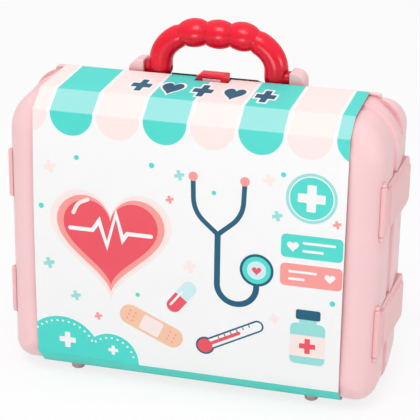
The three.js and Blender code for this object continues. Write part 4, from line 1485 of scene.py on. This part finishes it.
@dataclass
class Studio:
    """Camera, floor, lamps and surrounding light. Angles are in degrees."""

    yaw: float = 15.2  # turn of the camera to the case's right
    pitch: float = 20.7  # look downwards
    roll: float = 0.9  # tilt of the picture
    focal: float = 1595  # in pixels of the square picture
    picture: float = 420  # edge of the square picture in pixels
    place: tuple[float, float, float] = (344.3, -1254.3, 640.8)

    def camera(self) -> None:
        """Sets up the camera at the photograph's angle."""
        yaw, pitch, roll = (radians(a) for a in (self.yaw, self.pitch, self.roll))
        ahead = Vector((-sin(yaw) * cos(pitch), cos(yaw) * cos(pitch), -sin(pitch)))
        right = Vector((cos(yaw), sin(yaw), 0))
        up = right.cross(ahead)
        right, up = right * cos(roll) + up * sin(roll), up * cos(roll) - right * sin(roll)
        lens = bpy.data.cameras.new("camera")
        lens.sensor_width = 36
        lens.lens = self.focal * lens.sensor_width / self.picture
        lens.clip_end = 20
        holder = link("camera", lens)
        axes = Matrix((right, up, -ahead)).transposed()
        holder.matrix_world = Matrix.Translation(Vector(self.place) * MM) @ axes.to_4x4()
        bpy.context.scene.camera = holder

    def floor(self) -> None:
        """Lays the pale floor, which shows nearly white and keeps the case's soft shadow."""
        mesh = bpy.data.meshes.new("floor")
        half = 6
        mesh.from_pydata([(-half, -half, 0), (half, -half, 0), (half, half, 0), (-half, half, 0)], [],
                         [(0, 1, 2, 3)])
        material = bpy.data.materials.new("white_paper_sweep")
        tree = empty_tree(material)
        paper = add_node(tree, "BsdfDiffuse", {"Color": linear("f2f2f2")})
        shine = add_node(tree, "Emission", {"Strength": 1})
        rays = add_node(tree, "LightPath").outputs
        seen = rays["Is Camera Ray"]
        for ray in ("Is Glossy Ray", "Is Transmission Ray"):
            seen = add_node(tree, "Math", {"operation": "MAXIMUM"}, {0: seen, 1: rays[ray]}).outputs[0]
        share = add_node(tree, "Math", {"operation": "MULTIPLY", 1: 0.8}, {0: seen})
        mix = add_node(tree, "MixShader", None, {0: share.outputs[0], 1: paper.outputs[0],
                                                 2: shine.outputs[0]})
        add_node(tree, "OutputMaterial", None, {"Surface": mix.outputs[0]})
        mesh.materials.append(material)
        floor = link("floor", mesh)

    def surroundings(self) -> None:
        """Sets the even light around the case and the white behind it."""
        world = bpy.data.worlds.new("studio")
        bpy.context.scene.world = world
        tree = empty_tree(world)
        path = add_node(tree, "LightPath")
        # A light tent is brighter overhead than round its foot, so that edges turn a little deeper.
        way = add_node(tree, "TexCoord")
        rise = add_node(tree, "SeparateXYZ", None, {"Vector": way.outputs["Generated"]})
        tent = add_node(tree, "MapRange", {"To Min": 0.46, "To Max": 0.92}, {"Value": rise.outputs["Z"]})
        strength = add_node(tree, "Mix", {"data_type": "FLOAT", 3: 1},
                            {0: path.outputs["Is Camera Ray"], 2: tent.outputs["Result"]})
        light = add_node(tree, "Background", {"Color": (1, 1, 1, 1)}, {"Strength": strength.outputs[0]})
        add_node(tree, "OutputWorld", None, {"Surface": light.outputs[0]})

    def build(self) -> None:
        """Builds the whole studio."""
        self.camera()
        self.floor()
        self.surroundings()
        SoftBox("key_lamp", (0.1, -1.45, 2.35), 1.1, 28).build()
        SoftBox("side_reflector", (2, -0.6, 0.6), 0.6, 9, gloss_only=True).build()
        SoftBox("low_reflector", (0.02, -0.95, 0.07), 0.3, 2.6, 0.29, True).build()
        bpy.context.scene.view_settings.view_transform = "Standard"


def main() -> None:
    """Builds the pieces in order."""
    Studio().build()
    finish = Finishes()
    shells = HalfShells(finish)
    blocks = SideBlocks(finish, shells)
    shells.build_front(blocks)
    shells.build_rear(blocks)
    for assembly in (CardSleeve(finish), CarryingHandle(finish), LatchSet(finish), blocks, Feet(finish)):
        assembly.build()
    bpy.context.view_layer.update()


if __name__ == "__main__":
    main()
